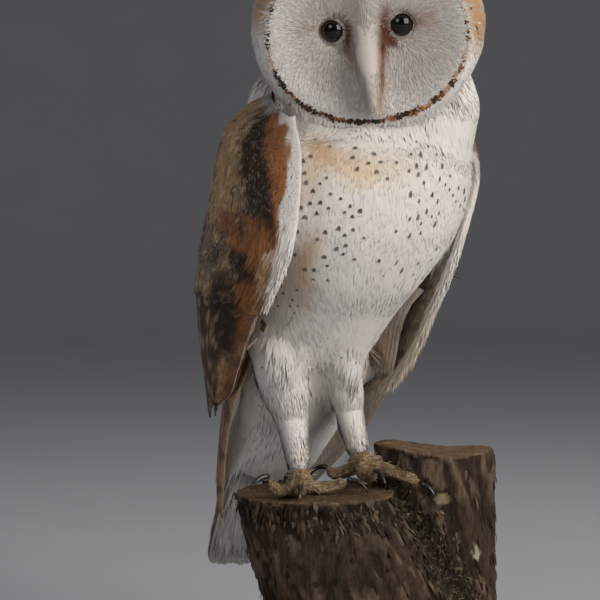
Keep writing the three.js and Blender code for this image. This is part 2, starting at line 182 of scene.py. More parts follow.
class Chart:
    """A thin bowed surface: u runs from the root to the tip, and t from the leading edge to the trailing one."""

    def __init__(self, rows, side=1, out=(1, 0, 0)):
        flip = np.array([side, 1, 1])
        self.lead = [np.array(row[0]) * flip for row in rows]
        self.trail = [np.array(row[1]) * flip for row in rows]
        self.bow = [(row[2], row[3]) for row in rows]
        self.out = np.array(out) * flip

    def at(self, u, t, face=1, lift=0.0):
        """The point at u, t on the outer face (1), the inner one (-1) or between, and the normal there."""
        small = 0.01
        lead = curve_through(self.lead, u)
        trail = curve_through(self.trail, u)
        run = curve_through(self.lead, u + small) - lead + curve_through(self.trail, u + small) - trail
        normal = unit(np.cross(run, lead - trail))
        normal = normal * np.sign((normal * self.out).sum(-1, keepdims=True))
        bow = curve_through(self.bow, u)
        side = np.clip(1 - 2 * np.asarray(t, float), -1.25, 1.25)[..., None]
        inside = np.clip(1 - side**2, 0, 1)
        height = bow[..., :1] * (1 - side**2) + face * bow[..., 1:] / 2 * np.sqrt(inside)
        point = (lead + trail) / 2 + (lead - trail) * side / 2
        slope = -2 * side * bow[..., :1]
        wide = lead - trail
        tilted = unit(normal - unit(wide) * slope * 2 / np.linalg.norm(wide, axis=-1, keepdims=True))
        return point + normal * height + tilted * np.asarray(lift, float)[..., None], tilted

    def length(self):
        """From root to tip along the middle, and the chord at the middle, in mm."""
        middle = [(a + b) / 2 for a, b in zip(self.lead, self.trail)]
        return sum(np.linalg.norm(b - a) for a, b in zip(middle, middle[1:]))

    def chord(self, u):
        return np.linalg.norm(curve_through(self.lead, u) - curve_through(self.trail, u), axis=-1)


# ---------------------------------------------------------------- materials


class Nodes:
    """A material, with short calls that add its nodes and wire them."""

    def __init__(self, name, roughness=0.8, specular=0.3, **sockets):
        self.material = bpy.data.materials.new(name)
        self.material.use_nodes = True
        self.tree = self.material.node_tree
        self.shader = self.tree.nodes["Principled BSDF"]
        self.shader.inputs["Roughness"].default_value = roughness
        self.shader.inputs["Specular IOR Level"].default_value = specular
        for name, value in sockets.items():
            self.shader.inputs[name.replace("_", " ")].default_value = value

    def add(self, kind, values=None, out=0, **settings):
        """A new node's output. values gives each input, by name or number, a constant or another output."""
        made = self.tree.nodes.new("ShaderNode" + kind)
        for name, value in settings.items():
            setattr(made, name, value)
        for key, value in (values or {}).items():
            self.set(made.inputs[key], value)
        return made.outputs[out]

    def set(self, socket, value):
        if isinstance(value, bpy.types.NodeSocket):
            self.tree.links.new(value, socket)
        elif socket.type == "RGBA":
            socket.default_value = (*value, 1.0)[:4]
        else:
            socket.default_value = value

    def place(self):
        return self.add("TexCoord", out=3)

    def stretched(self, scale, vector=None, turn=(0, 0, 0)):
        where = self.place() if vector is None else vector
        return self.add("Mapping", {"Vector": where, "Scale": scale, "Rotation": turn})

    def attribute(self, name):
        return self.add("Attribute", attribute_name=name)

    def amount(self, name):
        return self.add("Attribute", out=2, attribute_name=name)

    def uv(self, name):
        return self.add("UVMap", uv_map=name)

    def noise(self, vector, scale, detail=3.0, roughness=0.55, distortion=0.0):
        return self.add(
            "TexNoise",
            {"Vector": vector, "Scale": scale, "Detail": detail, "Roughness": roughness,
             "Distortion": distortion},
        )

    def cells(self, vector, scale, out=0, **settings):
        return self.add("TexVoronoi", {"Vector": vector, "Scale": scale}, out=out, **settings)

    def sum(self, operation, a, b=0.0, c=0.0):
        return self.add("Math", {0: a, 1: b, 2: c}, operation=operation, use_clamp=False)

    def step(self, value, low, high, bottom=0.0, top=1.0):
        """Rises smoothly from bottom to top as the value goes from low to high."""
        return self.add(
            "MapRange",
            {"Value": value, "From Min": low, "From Max": high, "To Min": bottom, "To Max": top},
            interpolation_type="SMOOTHSTEP",
        )

    def mix(self, share, a, b, kind="MIX"):
        return self.add("Mix", {0: share, 6: a, 7: b}, out=2, data_type="RGBA", blend_type=kind)

    def split(self, vector, axis):
        return self.add("SeparateXYZ", {0: vector}, out=axis)

    def bump(self, height, distance, strength=1.0, under=None):
        values = {"Height": height, "Distance": distance, "Strength": strength}
        if under is not None:
            values["Normal"] = under
        return self.add("Bump", values)

    def finish(self, colour=None, normal=None, roughness=None):
        for name, value in (("Base Color", colour), ("Normal", normal), ("Roughness", roughness)):
            if value is not None:
                self.set(self.shader.inputs[name], value)
        return self.material


# ---------------------------------------------------------------- camera, floor and lights

CAMERA_DISTANCE = 1.45
CAMERA_PITCH = 2.5  # degrees that it looks down
CAMERA_TARGET = (-0.045, 0.0, 0.217)
PIXELS_PER_MM = 1.78  # at the target, in a frame of 600 pixels
FRAME_PIXELS = 600
SENSOR = 36.0


def add_camera():
    pitch = math.radians(CAMERA_PITCH)
    camera = bpy.data.objects.new("camera", bpy.data.cameras.new("camera"))
    camera.data.sensor_width = SENSOR
    camera.data.lens = SENSOR * PIXELS_PER_MM * CAMERA_DISTANCE / MM / FRAME_PIXELS
    camera.data.clip_start = 0.05
    back = Vector((0, -math.cos(pitch), math.sin(pitch)))
    camera.location = Vector(CAMERA_TARGET) + CAMERA_DISTANCE * back
    camera.rotation_euler = (math.pi / 2 - pitch, 0, 0)
    bpy.context.scene.collection.objects.link(camera)
    bpy.context.scene.camera = camera


def add_softbox(name, azimuth, elevation, distance, size, power, tint=(1, 1, 1)):
    """A square light aimed at the owl. Azimuth is degrees round from the camera to the right."""
    light = bpy.data.lights.new(name, "AREA")
    light.size = size
    light.energy = power
    light.color = tint
    lamp = bpy.data.objects.new(name, light)
    turn, rise = math.radians(azimuth), math.radians(elevation)
    aim = Vector((math.sin(turn) * math.cos(rise), -math.cos(turn) * math.cos(rise), math.sin(rise)))
    lamp.location = Vector((-0.02, 0, 0.25)) + distance * aim
    lamp.rotation_euler = aim.to_track_quat("Z", "Y").to_euler()
    bpy.context.scene.collection.objects.link(lamp)


def add_studio():
    add_softbox("key", 46, 20, 1.4, 0.9, 15.5, (1.0, 0.97, 0.93))
    add_softbox("fill", -28, 24, 1.6, 0.6, 3.6, (0.96, 0.97, 1.0))
    add_softbox("top", 150, 62, 1.3, 0.6, 6)
    world = bpy.data.worlds.new("studio")
    world.use_nodes = True
    world.node_tree.nodes["Background"].inputs[0].default_value = (0.9, 0.92, 0.95, 1)
    world.node_tree.nodes["Background"].inputs[1].default_value = 0.25
    bpy.context.scene.world = world
    bpy.context.scene.view_settings.view_transform = "Standard"


def add_floor():
    """A round floor that sweeps up into a wall far off on every side."""
    paper = Nodes("studio_paper", roughness=0.9, specular=0.1)
    grain = paper.noise(paper.place(), 6.0, 2.0)
    paper.finish(paper.mix(grain, srgb(176, 176, 178), srgb(182, 182, 184)))
    bm = bmesh.new()
    flat, bend, top = 3.2, 1.8, 5.0
    turns = [math.pi / 2 * i / 16 for i in range(17)]
    profile = [(0.0, 0.0), (flat, 0.0)]
    profile += [(flat + bend * math.sin(turn), bend * (1 - math.cos(turn))) for turn in turns[1:]]
    profile += [(flat + bend, top)]
    corners = [bm.verts.new((reach, 0, height)) for reach, height in profile]
    edges = [bm.edges.new(pair) for pair in zip(corners, corners[1:])]
    bmesh.ops.spin(bm, geom=corners + edges, cent=(0, 0, 0), axis=(0, 0, 1), dvec=(0, 0, 0),
                   angle=2 * math.pi, steps=64, use_merge=True)
    bmesh.ops.remove_doubles(bm, verts=bm.verts, dist=1e-5)
    bmesh.ops.recalc_face_normals(bm, faces=bm.faces)
    if sum(face.normal.z for face in bm.faces) < 0:
        bmesh.ops.reverse_faces(bm, faces=bm.faces)
    floor = object_of("floor", bm, paper.material)
    floor.data.shade_smooth()


def object_of(name, shape, material):
    """A new object from a bmesh or a mesh, in the scene."""
    if isinstance(shape, bmesh.types.BMesh):
        mesh = bpy.data.meshes.new(name)
        shape.to_mesh(mesh)
        shape.free()
    else:
        mesh = shape
        mesh.name = name
    if material:
        mesh.materials.clear()
        mesh.materials.append(material)
    made = bpy.data.objects.new(name, mesh)
    bpy.context.scene.collection.objects.link(made)
    return made


def ride(piece, slot, *nodes):
    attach(piece, BODY)
    if nodes:
        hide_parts(*nodes)
    return piece


# ---------------------------------------------------------------- skin

SIDES = ("right", "left")
FLESH = ["head", "neck", "trunk", "vent"]
FLESH += [f"{part}_{side}" for part in ("thigh", "shank", "wing") for side in SIDES]

# How deep the skin lies under the tips of the coat, in mm.
COAT_DEPTH = {"head": 2.0, "neck": 1.4, "trunk": 2.0, "vent": 2.4, "thigh": 2.0, "shank": 1.4, "wing": 2.4}
FACE_DEPTH = 0.8
BODY_CALM = 60  # rounds of smoothing that take the ridges out of the breast and back
NECK_TAPER = 4.5  # how much deeper the skin lies where the ruff runs out on the breast
THIGH_TAPER = 2.0
SOCKET_DEPTH = 0.4  # the skin sinks in round the eyes
SOCKET_RADIUS = 6.1
MOST_OF_THICKNESS = 0.3  # a thin place is not thinned by more than this share on each face


def grown_copy(names, growth):
    """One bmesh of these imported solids, each swollen by the growth."""
    whole = bmesh.new()
    for name in names:
        one = bmesh.new()
        one.from_mesh(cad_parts[name].data)
        bmesh.ops.remove_doubles(one, verts=one.verts, dist=0.01 * MM)
        one.normal_update()
        for v in one.verts:
            v.co += v.normal * growth
        swollen = bpy.data.meshes.new("swollen")
        one.to_mesh(swollen)
        one.free()
        whole.from_mesh(swollen)
        bpy.data.meshes.remove(swollen)
    return whole


def remeshed(name, bm, voxel, smoothing):
    """The solids of a bmesh joined into one even mesh, and softened."""
    rough = object_of("rough_" + name, bm, None)
    remesh = rough.modifiers.new("join", "REMESH")
    remesh.mode = "VOXEL"
    remesh.voxel_size = voxel
    soften = rough.modifiers.new("soften", "SMOOTH")
    soften.factor = 0.5
    soften.iterations = smoothing
    bpy.context.view_layer.update()
    mesh = bpy.data.meshes.new_from_object(rough.evaluated_get(bpy.context.evaluated_depsgraph_get()))
    old = rough.data
    bpy.data.objects.remove(rough)
    bpy.data.meshes.remove(old)
    return mesh


def vertices_of(mesh):
    rows = np.empty(len(mesh.vertices) * 3, np.float32)
    mesh.vertices.foreach_get("co", rows)
    return rows.reshape(-1, 3).astype(float)


def normals_of(mesh):
    rows = np.empty(len(mesh.vertices) * 3, np.float32)
    mesh.vertices.foreach_get("normal", rows)
    return rows.reshape(-1, 3).astype(float)


def tree_of(mesh):
    bm = bmesh.new()
    bm.from_mesh(mesh)
    tree = BVHTree.FromBMesh(bm)
    bm.free()
    return tree


def owners(points):
    """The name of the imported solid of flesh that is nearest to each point."""
    whole = bmesh.new()
    owner = []
    for name in FLESH:
        whole.from_mesh(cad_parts[name].data)
        owner += [name] * (len(whole.faces) - len(owner))
    whole.faces.ensure_lookup_table()
    tree = BVHTree.FromBMesh(whole)
    names = [owner[tree.find_nearest(Vector(p))[2]] for p in points]
    whole.free()
    return np.array(names)


def rim_radius(angle):
    """The heart-shaped edge of the facial disc. The angle runs round from the chin."""
    turn = np.abs(np.mod(angle + np.pi, 2 * np.pi) - np.pi)
    chin = 0.15 * bell(turn, 0.85)
    notch = 0.2 * bell(np.pi - turn, 0.34)
    return DISC_RADIUS * (1 - chin - notch - 0.03 * np.maximum(0, -np.cos(turn)))


def face_share(points):
    """How far out from the middle of the face each point lies: 1 is the rim. Points behind it give 2 and more."""
    x, y, z = head.local(points).T
    share = np.hypot(x, z) / rim_radius(np.arctan2(x, -z))
    return share + 2 * smooth(y, -RIM_FORWARD + 12, -RIM_FORWARD + 16)


def eye_distance(points):
    """How far each point lies from the nearer eye's middle, as the face is seen from in front, in mm."""
    x, y, z = head.local(points).T
    return np.hypot(np.abs(x) - EYE_APART / 2, z - EYE_RAISE) + 100 * (y > -10)


def build_skin():
    mesh = remeshed("skin", grown_copy(FLESH, SKIN_GROWTH), SKIN_VOXEL, 8)
    points = vertices_of(mesh)
    normals = normals_of(mesh)
    owner = owners(points)
    depth = np.array([COAT_DEPTH[name.split("_")[0]] for name in owner])
    in_face = (owner == "head") * (1 - smooth(face_share(points), 0.9, 1.15))
    depth = depth * (1 - in_face) + FACE_DEPTH * in_face
    x, y, z = bird.local(points).T
    depth = depth + (owner == "neck") * NECK_TAPER * (1 - smooth(z, 196, 216)) * (1 - smooth(y, -30, -10))
    depth = depth + np.isin(owner, ("thigh_right", "thigh_left")) * THIGH_TAPER * (1 - smooth(z, 40, 58))
    depth = depth + SOCKET_DEPTH * (1 - smooth(eye_distance(points), SOCKET_RADIUS - 1.5, SOCKET_RADIUS + 2.5))
    depth = depth * MM + SKIN_GROWTH
    tree = tree_of(mesh)
    for i, (point, normal) in enumerate(zip(points, normals)):
        hit = tree.ray_cast(Vector(point - normal * 0.05 * MM), Vector(-normal), 0.03)
        if hit[0] is not None:
            depth[i] = min(depth[i], SKIN_GROWTH + MOST_OF_THICKNESS * hit[3])
    points = points - normals * depth[:, None]
    mesh.vertices.foreach_set("co", points.astype(np.float32).ravel())
    mesh.update()
    skin = object_of("skin", mesh, None)
    relax = skin.modifiers.new("relax", "SMOOTH")
    relax.factor = 0.5
    relax.iterations = 3
    body = skin.vertex_groups.new(name="body")
    even = np.isin(owner, ("neck", "trunk", "vent", "thigh_right", "thigh_left"))
    body.add(np.flatnonzero(even).tolist(), 1.0, "REPLACE")
    body.add(np.flatnonzero((owner == "neck") & (z > 214)).tolist(), 0.3, "REPLACE")
    calm = skin.modifiers.new("calm", "SMOOTH")
    calm.factor = 0.5
    calm.iterations = BODY_CALM
    calm.vertex_group = "body"
    bpy.context.view_layer.update()
    smooth_mesh = bpy.data.meshes.new_from_object(skin.evaluated_get(bpy.context.evaluated_depsgraph_get()))
    skin.modifiers.clear()
    skin.data = smooth_mesh
    bpy.data.meshes.remove(mesh)
    smooth_mesh.name = "skin"
    smooth_mesh.shade_smooth()
    return skin, owner


# ---------------------------------------------------------------- markings


def patches(points, size, seed=0):
    """Smooth random patches of this size in mm, from 0 to 1, at rows of points in mm."""
    at = np.asarray(points, float) / size + 1000
    cell = np.floor(at).astype(np.int64)
    part = at - cell
    part = part * part * (3 - 2 * part)
    total = 0
    for corner in np.ndindex(2, 2, 2):
        c = cell + corner
        mixed = (c[..., 0] * 73856093) ^ (c[..., 1] * 19349663) ^ (c[..., 2] * 83492791) ^ (seed * 7919)
        mixed = (mixed * 1103515245 + 12345) & 0x7FFFFFFF
        mixed = ((mixed >> 7) * 48271 + 11) & 0xFFFFF
        weight = np.where(np.array(corner) == 1, part, 1 - part).prod(-1)
        total = total + weight * mixed / 0xFFFFF
    return total


# Warm washes on the white breast, and one painted shadow at the side of the neck: place and reach in the owl's frame
# in mm, colour and strength.
BREAST_WASHES_AND_SHADE = [
    ((-42, -58, 190), (8, 14, 9), BUFF, 0.85),
    ((-47, -52, 174), (7, 14, 14), BUFF, 0.5),
    ((-31, -67, 184), (14, 16, 8), BUFF, 0.6),
    ((-24, -69, 176), (12, 16, 7), CREAM, 0.7),
    ((-4, -72, 180), (18, 16, 9), BUFF, 0.35),
    ((-41, -42, 128), (5, 20, 20), BUFF, 0.85),
    ((-38, -36, 108), (5, 20, 12), BUFF, 0.6),
    ((-44, -20, 100), (5, 20, 16), CREAM, 0.6),
    # A painted shadow: umber on the white at the side of the neck, under the edge of the head.
    ((-51, -4, 227), (4, 5, 4), UMBER, 0.45),
]
# Brown marks on the face: place across and up in the head's frame, reach, colour and strength.
FACE_MARKS = [
    ((9.0, 3.0), (3.2, 8.0), RED_BROWN, 1.0),
    ((7.6, -7.0), (2.5, 9.0), RED_BROWN, 1.0),
    ((5.6, -20.0), (1.6, 11.0), RUFOUS, 0.85),
    ((3.4, -34.0), (1.3, 9.0), BUFF, 0.7),
    ((11.0, -5.0), (3.0, 2.8), RED_BROWN, 0.5),
    ((11.0, 12.5), (3.4, 4.5), RED_BROWN, 0.65),
    ((20.0, -6.5), (6.0, 2.2), RUFOUS, 0.3),
    ((-11.0, -2.0), (2.2, 8.0), RED_BROWN, 0.95),
    ((-9.4, -12.0), (1.8, 7.0), RUFOUS, 0.6),
    ((-13.0, -7.5), (3.2, 3.0), RED_BROWN, 0.6),
    ((-29.0, 6.5), (7.0, 2.4), RUFOUS, 0.4),
    ((31.0, 5.5), (7.0, 5.5), srgb(186, 148, 132), 0.7),
    ((0, -38), (5, 6), CREAM, 0.4),
]
BACK_FROM = [(52, 24), (95, 24), (140, 14), (185, 0), (215, -4), (235, -6)]  # height, and how far back gold begins
GOLDEN_FROM = (98, 76)  # degrees round from the chin where gold begins, on the owl's right and left


def wash(tone, offset, reach, colour, strength):
    amount = strength * np.exp(-((np.asarray(offset) / reach) ** 2).sum(-1))
    return blend(tone, colour, amount)


def plumage(points, owner, share):
    """The colour of skin and coat at these points, worked out from where they are on the owl."""
    at = bird.local(points)
    face = head.local(points)
    x, y, z = at.T
    fine = patches(at, 2.2, 1)
    broad = patches(at, 11, 2)
    tone = blend(WHITE * 0.94, WHITE, broad)
    for place, reach, colour, strength in BREAST_WASHES_AND_SHADE:
        tone = wash(tone, at - place, reach, colour, strength)
    grey = blend(SLATE * 1.1, PALE_GREY, fine)
    golden = blend(blend(BUFF, GOLD, broad), grey, 0.55 * smooth(fine, 0.35, 0.8))
    dots = patches(at * (1, 1, 0.7), 3.3, 9)
    pearls = patches((at + (0, 0, -2.4)) * (1, 1, 0.7), 3.3, 9)
    golden = blend(golden, WHITE * 0.9, 0.7 * smooth(pearls, 0.8, 0.9))
    golden = blend(golden, UMBER, 0.8 * smooth(dots, 0.77, 0.88))
    start = np.interp(z, *np.transpose(BACK_FROM)) + 0.35 * np.maximum(-x - 12, 0)
    mantle = smooth(y, start - 7, start + 7) * smooth(z, 52, 80)
    tone = blend(tone, golden, mantle * (owner != "head"))
    is_head = owner == "head"
    angle = np.degrees(np.abs(np.arctan2(face[:, 0], -face[:, 2])))
    start = np.where(face[:, 0] < 0, *GOLDEN_FROM)
    crown = np.maximum(smooth(angle, start - 8, start + 10), smooth(face[:, 1], -4, 12))
    crown = crown * smooth(share, 0.99, 1.04) * is_head
    tone = blend(tone, golden, crown)
    in_face = is_head * (1 - smooth(share, 0.98, 1.05))
    disc = blend(FACE_WHITE, WHITE, smooth(share, 0.55, 0.95))
    for (right, up), reach, colour, strength in FACE_MARKS:
        spread = np.stack([face[:, 0] - right, face[:, 2] - up], -1)
        disc = wash(disc, spread, reach, colour, strength * (0.75 + 0.5 * fine))
    return blend(tone, disc, in_face)


# ---------------------------------------------------------------- coat

# Each tuft is a flat three-sided spike: left, right and ridge at its root and middle, and a tip.
TUFT_ALONG = np.array([0, 0, 0, 0.5, 0.5, 0.5, 1])
TUFT_ACROSS = np.array([-0.7, 0.7, 0, -1, 1, 0, 0])
TUFT_UP = np.array([0, 0, 1, 0, 0, 1, 0.2])
TUFT_FACES = [(0, 1, 4, 3), (1, 2, 5, 4), (0, 3, 5, 2), (3, 4, 6), (4, 5, 6), (3, 6, 5), (0, 2, 1)]
TUFT_PATCH = 0.003
RIDGE_SHARE = 0.12  # a tuft's thickness, as a share of its width
SOFTNESS = 0.85  # how far a tuft is shaded as the skin beneath it rather than by its own faces
SETTLES_WITHIN = 0.45  # a tip comes down on the skin only where that keeps this share of the tuft's length
RIDGE_SHIFT = -0.12  # keeps the faces at a tuft's root from closing up on the map


def mesh_of(name, points, faces, maps, colours, material, shading=None, softness=SOFTNESS):
    """A mesh from rows of points and a list of face rows, with UV maps and colours given for each point."""
    corners = np.concatenate([f.ravel() for f in faces])
    sizes = np.concatenate([np.full(len(f), f.shape[1]) for f in faces])
    mesh = bpy.data.meshes.new(name)
    mesh.vertices.add(len(points))
    mesh.vertices.foreach_set("co", np.asarray(points, np.float32).ravel())
    mesh.loops.add(len(corners))
    mesh.loops.foreach_set("vertex_index", corners.astype(np.int32))
    mesh.polygons.add(len(sizes))
    starts = np.concatenate([[0], np.cumsum(sizes)[:-1]])
    mesh.polygons.foreach_set("loop_start", starts.astype(np.int32))
    mesh.update(calc_edges=True)
    for map_name, uv in maps.items():
        layer = mesh.uv_layers.new(name=map_name)
        layer.data.foreach_set("uv", np.asarray(uv, np.float32)[corners].ravel())
    for colour_name, rows in colours.items():
        layer = mesh.attributes.new(colour_name, "FLOAT_COLOR", "POINT")
        full = np.ones((len(points), 4), np.float32)
        full[:, :3] = rows
        layer.data.foreach_set("color", full.ravel())
    mesh.shade_smooth()
    if shading is not None:
        own = normals_of(mesh)
        mesh.normals_split_custom_set_from_vertices(unit(own * (1 - softness) + shading * softness))
    return object_of(name, mesh, material)


def lay_tufts(name, material, root, normal, flow, length, width, height, tone, bake, settle=True,
              softness=SOFTNESS):
    """Tufts from rows of roots: each lies along its flow, and its tip stands off the skin by its height."""
    count = len(root)
    tip = root + flow * length[:, None]
    if settle:
        for i in range(count):
            place, facing, _, _ = skin_tree.find_nearest(Vector(tip[i]))
            settled = np.array(place + facing * height[i])
            if (settled - root[i]) @ flow[i] > SETTLES_WITHIN * length[i]:
                tip[i] = settled
    else:
        tip = tip + normal * height[:, None]
    middle = (root + tip) / 2 + normal * (0.3 * height)[:, None]
    root = root - normal * 0.3 * MM
    side = unit(np.cross(normal, flow))
    centre = np.stack([root, middle, tip], 1)[:, (TUFT_ALONG * 2).astype(int)]
    half = (width / 2)[:, None, None]
    points = centre + side[:, None] * TUFT_ACROSS[None, :, None] * half * (TUFT_ALONG < 1)[None, :, None]
    points = points + normal[:, None] * TUFT_UP[None, :, None] * half * 2 * RIDGE_SHARE
    offset = np.arange(count)[:, None, None] * len(TUFT_ALONG)
    quads = np.array([f for f in TUFT_FACES if len(f) == 4])
    threes = np.array([f for f in TUFT_FACES if len(f) == 3])
    faces = [(quads[None] + offset).reshape(-1, 4), (threes[None] + offset).reshape(-1, 3)]
    flat = np.stack([0.5 + TUFT_ACROSS / 2, TUFT_ALONG], -1)
    flat[2, 1] += RIDGE_SHIFT
    strand = np.broadcast_to(flat, (count, len(flat), 2))
    patch = bake[:, None] + (flat - 0.5) * TUFT_PATCH
    # Painted shade: each tuft is coloured a little darker at its root, where it lies under its neighbours.
    shade = (0.95 + 0.05 * TUFT_ALONG)[None, :, None] * tone[:, None]
    return mesh_of(
        name, points.reshape(-1, 3), faces,
        {"OFBake": patch.reshape(-1, 2), "strand": strand.reshape(-1, 2)},
        {"tone": shade.reshape(-1, 3)}, material, np.repeat(normal, len(TUFT_ALONG), axis=0), softness,
    )


class Roots:
    """Random places on the skin, spread evenly, with what is known of the skin at each."""

    def __init__(self, skin, owner, seed):
        mesh = skin.data
        self.random = np.random.default_rng(seed)
        corners = np.empty(len(mesh.loops), np.int32)
        mesh.loops.foreach_get("vertex_index", corners)
        starts = np.empty(len(mesh.polygons), np.int32)
        mesh.polygons.foreach_get("loop_start", starts)
        self.quads = corners[starts[:, None] + np.arange(4)]
        uv = np.empty(len(mesh.loops) * 2, np.float32)
        mesh.uv_layers["OFBake"].data.foreach_get("uv", uv)
        self.uv = uv.reshape(-1, 2)[starts[:, None] + np.arange(4)].astype(float)
        self.points = vertices_of(mesh)
        self.normals = normals_of(mesh)
        corner = self.points[self.quads]
        self.area = np.linalg.norm(np.cross(corner[:, 2] - corner[:, 0], corner[:, 3] - corner[:, 1]), axis=-1)
        self.area = self.area / 2 / MM**2
        self.centre = corner.mean(1)
        self.normal = unit(self.normals[self.quads].mean(1))
        self.owner = owner[self.quads[:, 0]]
        self.share = face_share(self.centre)
        self.hidden = self.covered()

    def covered(self):
        """True where a folded wing lies close over the skin."""
        wings = tree_of_nodes([f"wing_{side}" for side in SIDES])
        hidden = np.zeros(len(self.centre), bool)
        for i, (place, facing) in enumerate(zip(self.centre, self.normal)):
            if self.owner[i][:4] in ("wing", "head"):
                continue
            hit = wings.ray_cast(Vector(place), Vector(facing), 14 * MM)
            hidden[i] = hit[0] is not None
        return hidden

    def scatter(self, wanted, density):
        """Points on the wanted quads, at a density per square mm, as a dict of rows."""
        rate = np.where(wanted & ~self.hidden, density, 0) * self.area
        count = np.floor(rate + self.random.random(len(rate))).astype(int)
        quad = np.repeat(np.arange(len(rate)), count)
        a, b = self.random.random((2, len(quad), 1))
        weights = np.stack([(1 - a) * (1 - b), a * (1 - b), a * b, (1 - a) * b], 1)
        place = (self.points[self.quads[quad]] * weights).sum(1)
        normal = unit((self.normals[self.quads[quad]] * weights).sum(1))
        uv = (self.uv[quad] * weights).sum(1)
        return {"root": place, "normal": normal, "bake": uv, "owner": self.owner[quad],
                "share": face_share(place)}


def tree_of_nodes(names):
    bm = bmesh.new()
    for name in names:
        bm.from_mesh(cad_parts[name].data)
    tree = BVHTree.FromBMesh(bm)
    bm.free()
    return tree


LEG_LINES = {  # knee, heel and foot in the owl's frame, in mm
    "right": ((-36, 11, 90), (-18.5, 21, 42), (-26, -4, 10)),
    "left": ((4, 4, 84), (16, 17, 46), (13, -3, 18)),
}


def lie(points, normals, owner, share):
    """The way that the coat lies at each point, along the skin."""
    at = bird.local(points)
    face = head.local(points)
    x, y, z = at.T
    down = np.stack([0.25 * x / 60, 0.22 + 0.25 * smooth(y, 0, 30), -np.ones(len(x))], -1)
    way = bird.aim(down)
    for side, (knee, heel, foot) in LEG_LINES.items():
        way[owner == "thigh_" + side] = bird.aim(unit(np.subtract(heel, knee) + (0, 4, 0)))
        way[owner == "shank_" + side] = bird.aim(unit(np.subtract(foot, heel)))
    hx, hy, hz = face.T
    back = np.stack([0.35 * hx / 60, 0.4 + 0 * hx, -0.75 - 0.3 * smooth(-hz, 0, 40)], -1)
    back = blend(back, np.stack([0.0 * hx, np.ones(len(hx)), -0.25 * smooth(hy, -10, 40)], -1), smooth(hz, -10, 22))
    eye = np.where(hx > 0, 1, -1) * EYE_APART / 2
    from_eye = np.stack([hx - eye, 0 * hx, hz - EYE_RAISE], -1)
    from_eye = unit(from_eye) + np.stack([0 * hx, 0 * hx, -0.25 * smooth(share, 0.6, 1)], -1)
    ridge = np.stack([0.5 * np.sign(hx) * bell(np.abs(hx) - 6, 4), 0 * hx, -np.ones(len(hx))], -1)
    disc = blend(unit(from_eye), ridge, bell(hx, 8.5) * (1 - smooth(share, 0.75, 1)))
    head_way = blend(back, disc, 1 - smooth(share, 0.97, 1.04))
    way = np.where((owner == "head")[:, None], head.aim(head_way), way)
    return across(way, normals)


# For each stretch of coat: tufts per square mm, length, width and height in mm, and how far they stray in degrees.
COATS = {
    "face": (2.2, 5.2, 0.62, 0.6, 9),
    "crown": (0.75, 9.0, 1.8, 0.8, 7),
    "ruff": (0.8, 13.0, 2.4, 0.8, 6),
    "breast": (0.8, 13.0, 2.2, 0.5, 4),
    "belly": (0.8, 14.0, 2.1, 0.6, 5),
    "thighs": (0.7, 11.0, 1.8, 0.6, 6),
    "shanks": (1.7, 6.0, 0.9, 0.6, 9),
    "vent": (0.6, 14.0, 2.4, 0.6, 5),
    "shoulders": (1.2, 8.0, 1.8, 0.3, 7),
}
MOST_TUFTS = 19500  # in one piece, to keep it under 200,000 triangles


def coat_masks(roots):
    owner, share = roots.owner, roots.share
    at = bird.local(roots.centre)
    part = np.array([name.split("_")[0] for name in owner])
    return {
        "face": (part == "head") & (share < 1.02) & (eye_distance(roots.centre) > SOCKET_RADIUS),
        "crown": (part == "head") & (share >= 1.02),
        "ruff": part == "neck",
        "breast": (part == "trunk") & (at[:, 2] >= 140),
        "belly": (part == "trunk") & (at[:, 2] < 140),
        "thighs": part == "thigh",
        "shanks": part == "shank",
        "vent": part == "vent",
        "shoulders": (part == "wing") & (at[:, 2] > 209),
    }


def turned(flow, normal, degrees):
    angle = np.radians(degrees)[:, None]
    return flow * np.cos(angle) + np.cross(normal, flow) * np.sin(angle)


def build_coat(roots, material):
    for name, wanted in coat_masks(roots).items():
        density, length, width, height, stray = COATS[name]
        spots = roots.scatter(wanted, density)
        count = len(spots["root"])
        random = roots.random
        flow = lie(spots["root"], spots["normal"], spots["owner"], spots["share"])
        clump = patches(spots["root"] / MM, 5.0, 21) - 0.5
        flow = turned(flow, spots["normal"], random.normal(0, stray, count) + 9 * clump)
        size = random.uniform(0.7, 1.25, count)
        size = size * (0.45 + 0.55 * smooth(eye_distance(spots["root"]), SOCKET_RADIUS, SOCKET_RADIUS + 7))
        tone = plumage(spots["root"] + flow * (0.6 * length * MM), spots["owner"], spots["share"])
        tone = tone * random.uniform(0.72 if name == "face" else 0.965, 1.03, count)[:, None]
        lay = (length * size * MM, width * random.uniform(0.7, 1.2, count) * MM,
               height * random.uniform(0.35, 1.1, count) * MM)
        pieces = int(np.ceil(count / MOST_TUFTS))
        for i in range(pieces):
            some = slice(i * count // pieces, (i + 1) * count // pieces)
            tag = name if pieces == 1 else f"{name}_{i + 1}"
            piece = lay_tufts("coat_" + tag, material, spots["root"][some], spots["normal"][some], flow[some],
                              *(row[some] for row in lay), tone[some], spots["bake"][some])
            ride(piece, "plumage_white")


def skin_map(points):
    """Where the skin under each of these points lies on the map of the skin."""
    return roots.uv[[skin_tree.find_nearest(Vector(p))[2] for p in points]].mean(1)


SPOT_COUNT = 330


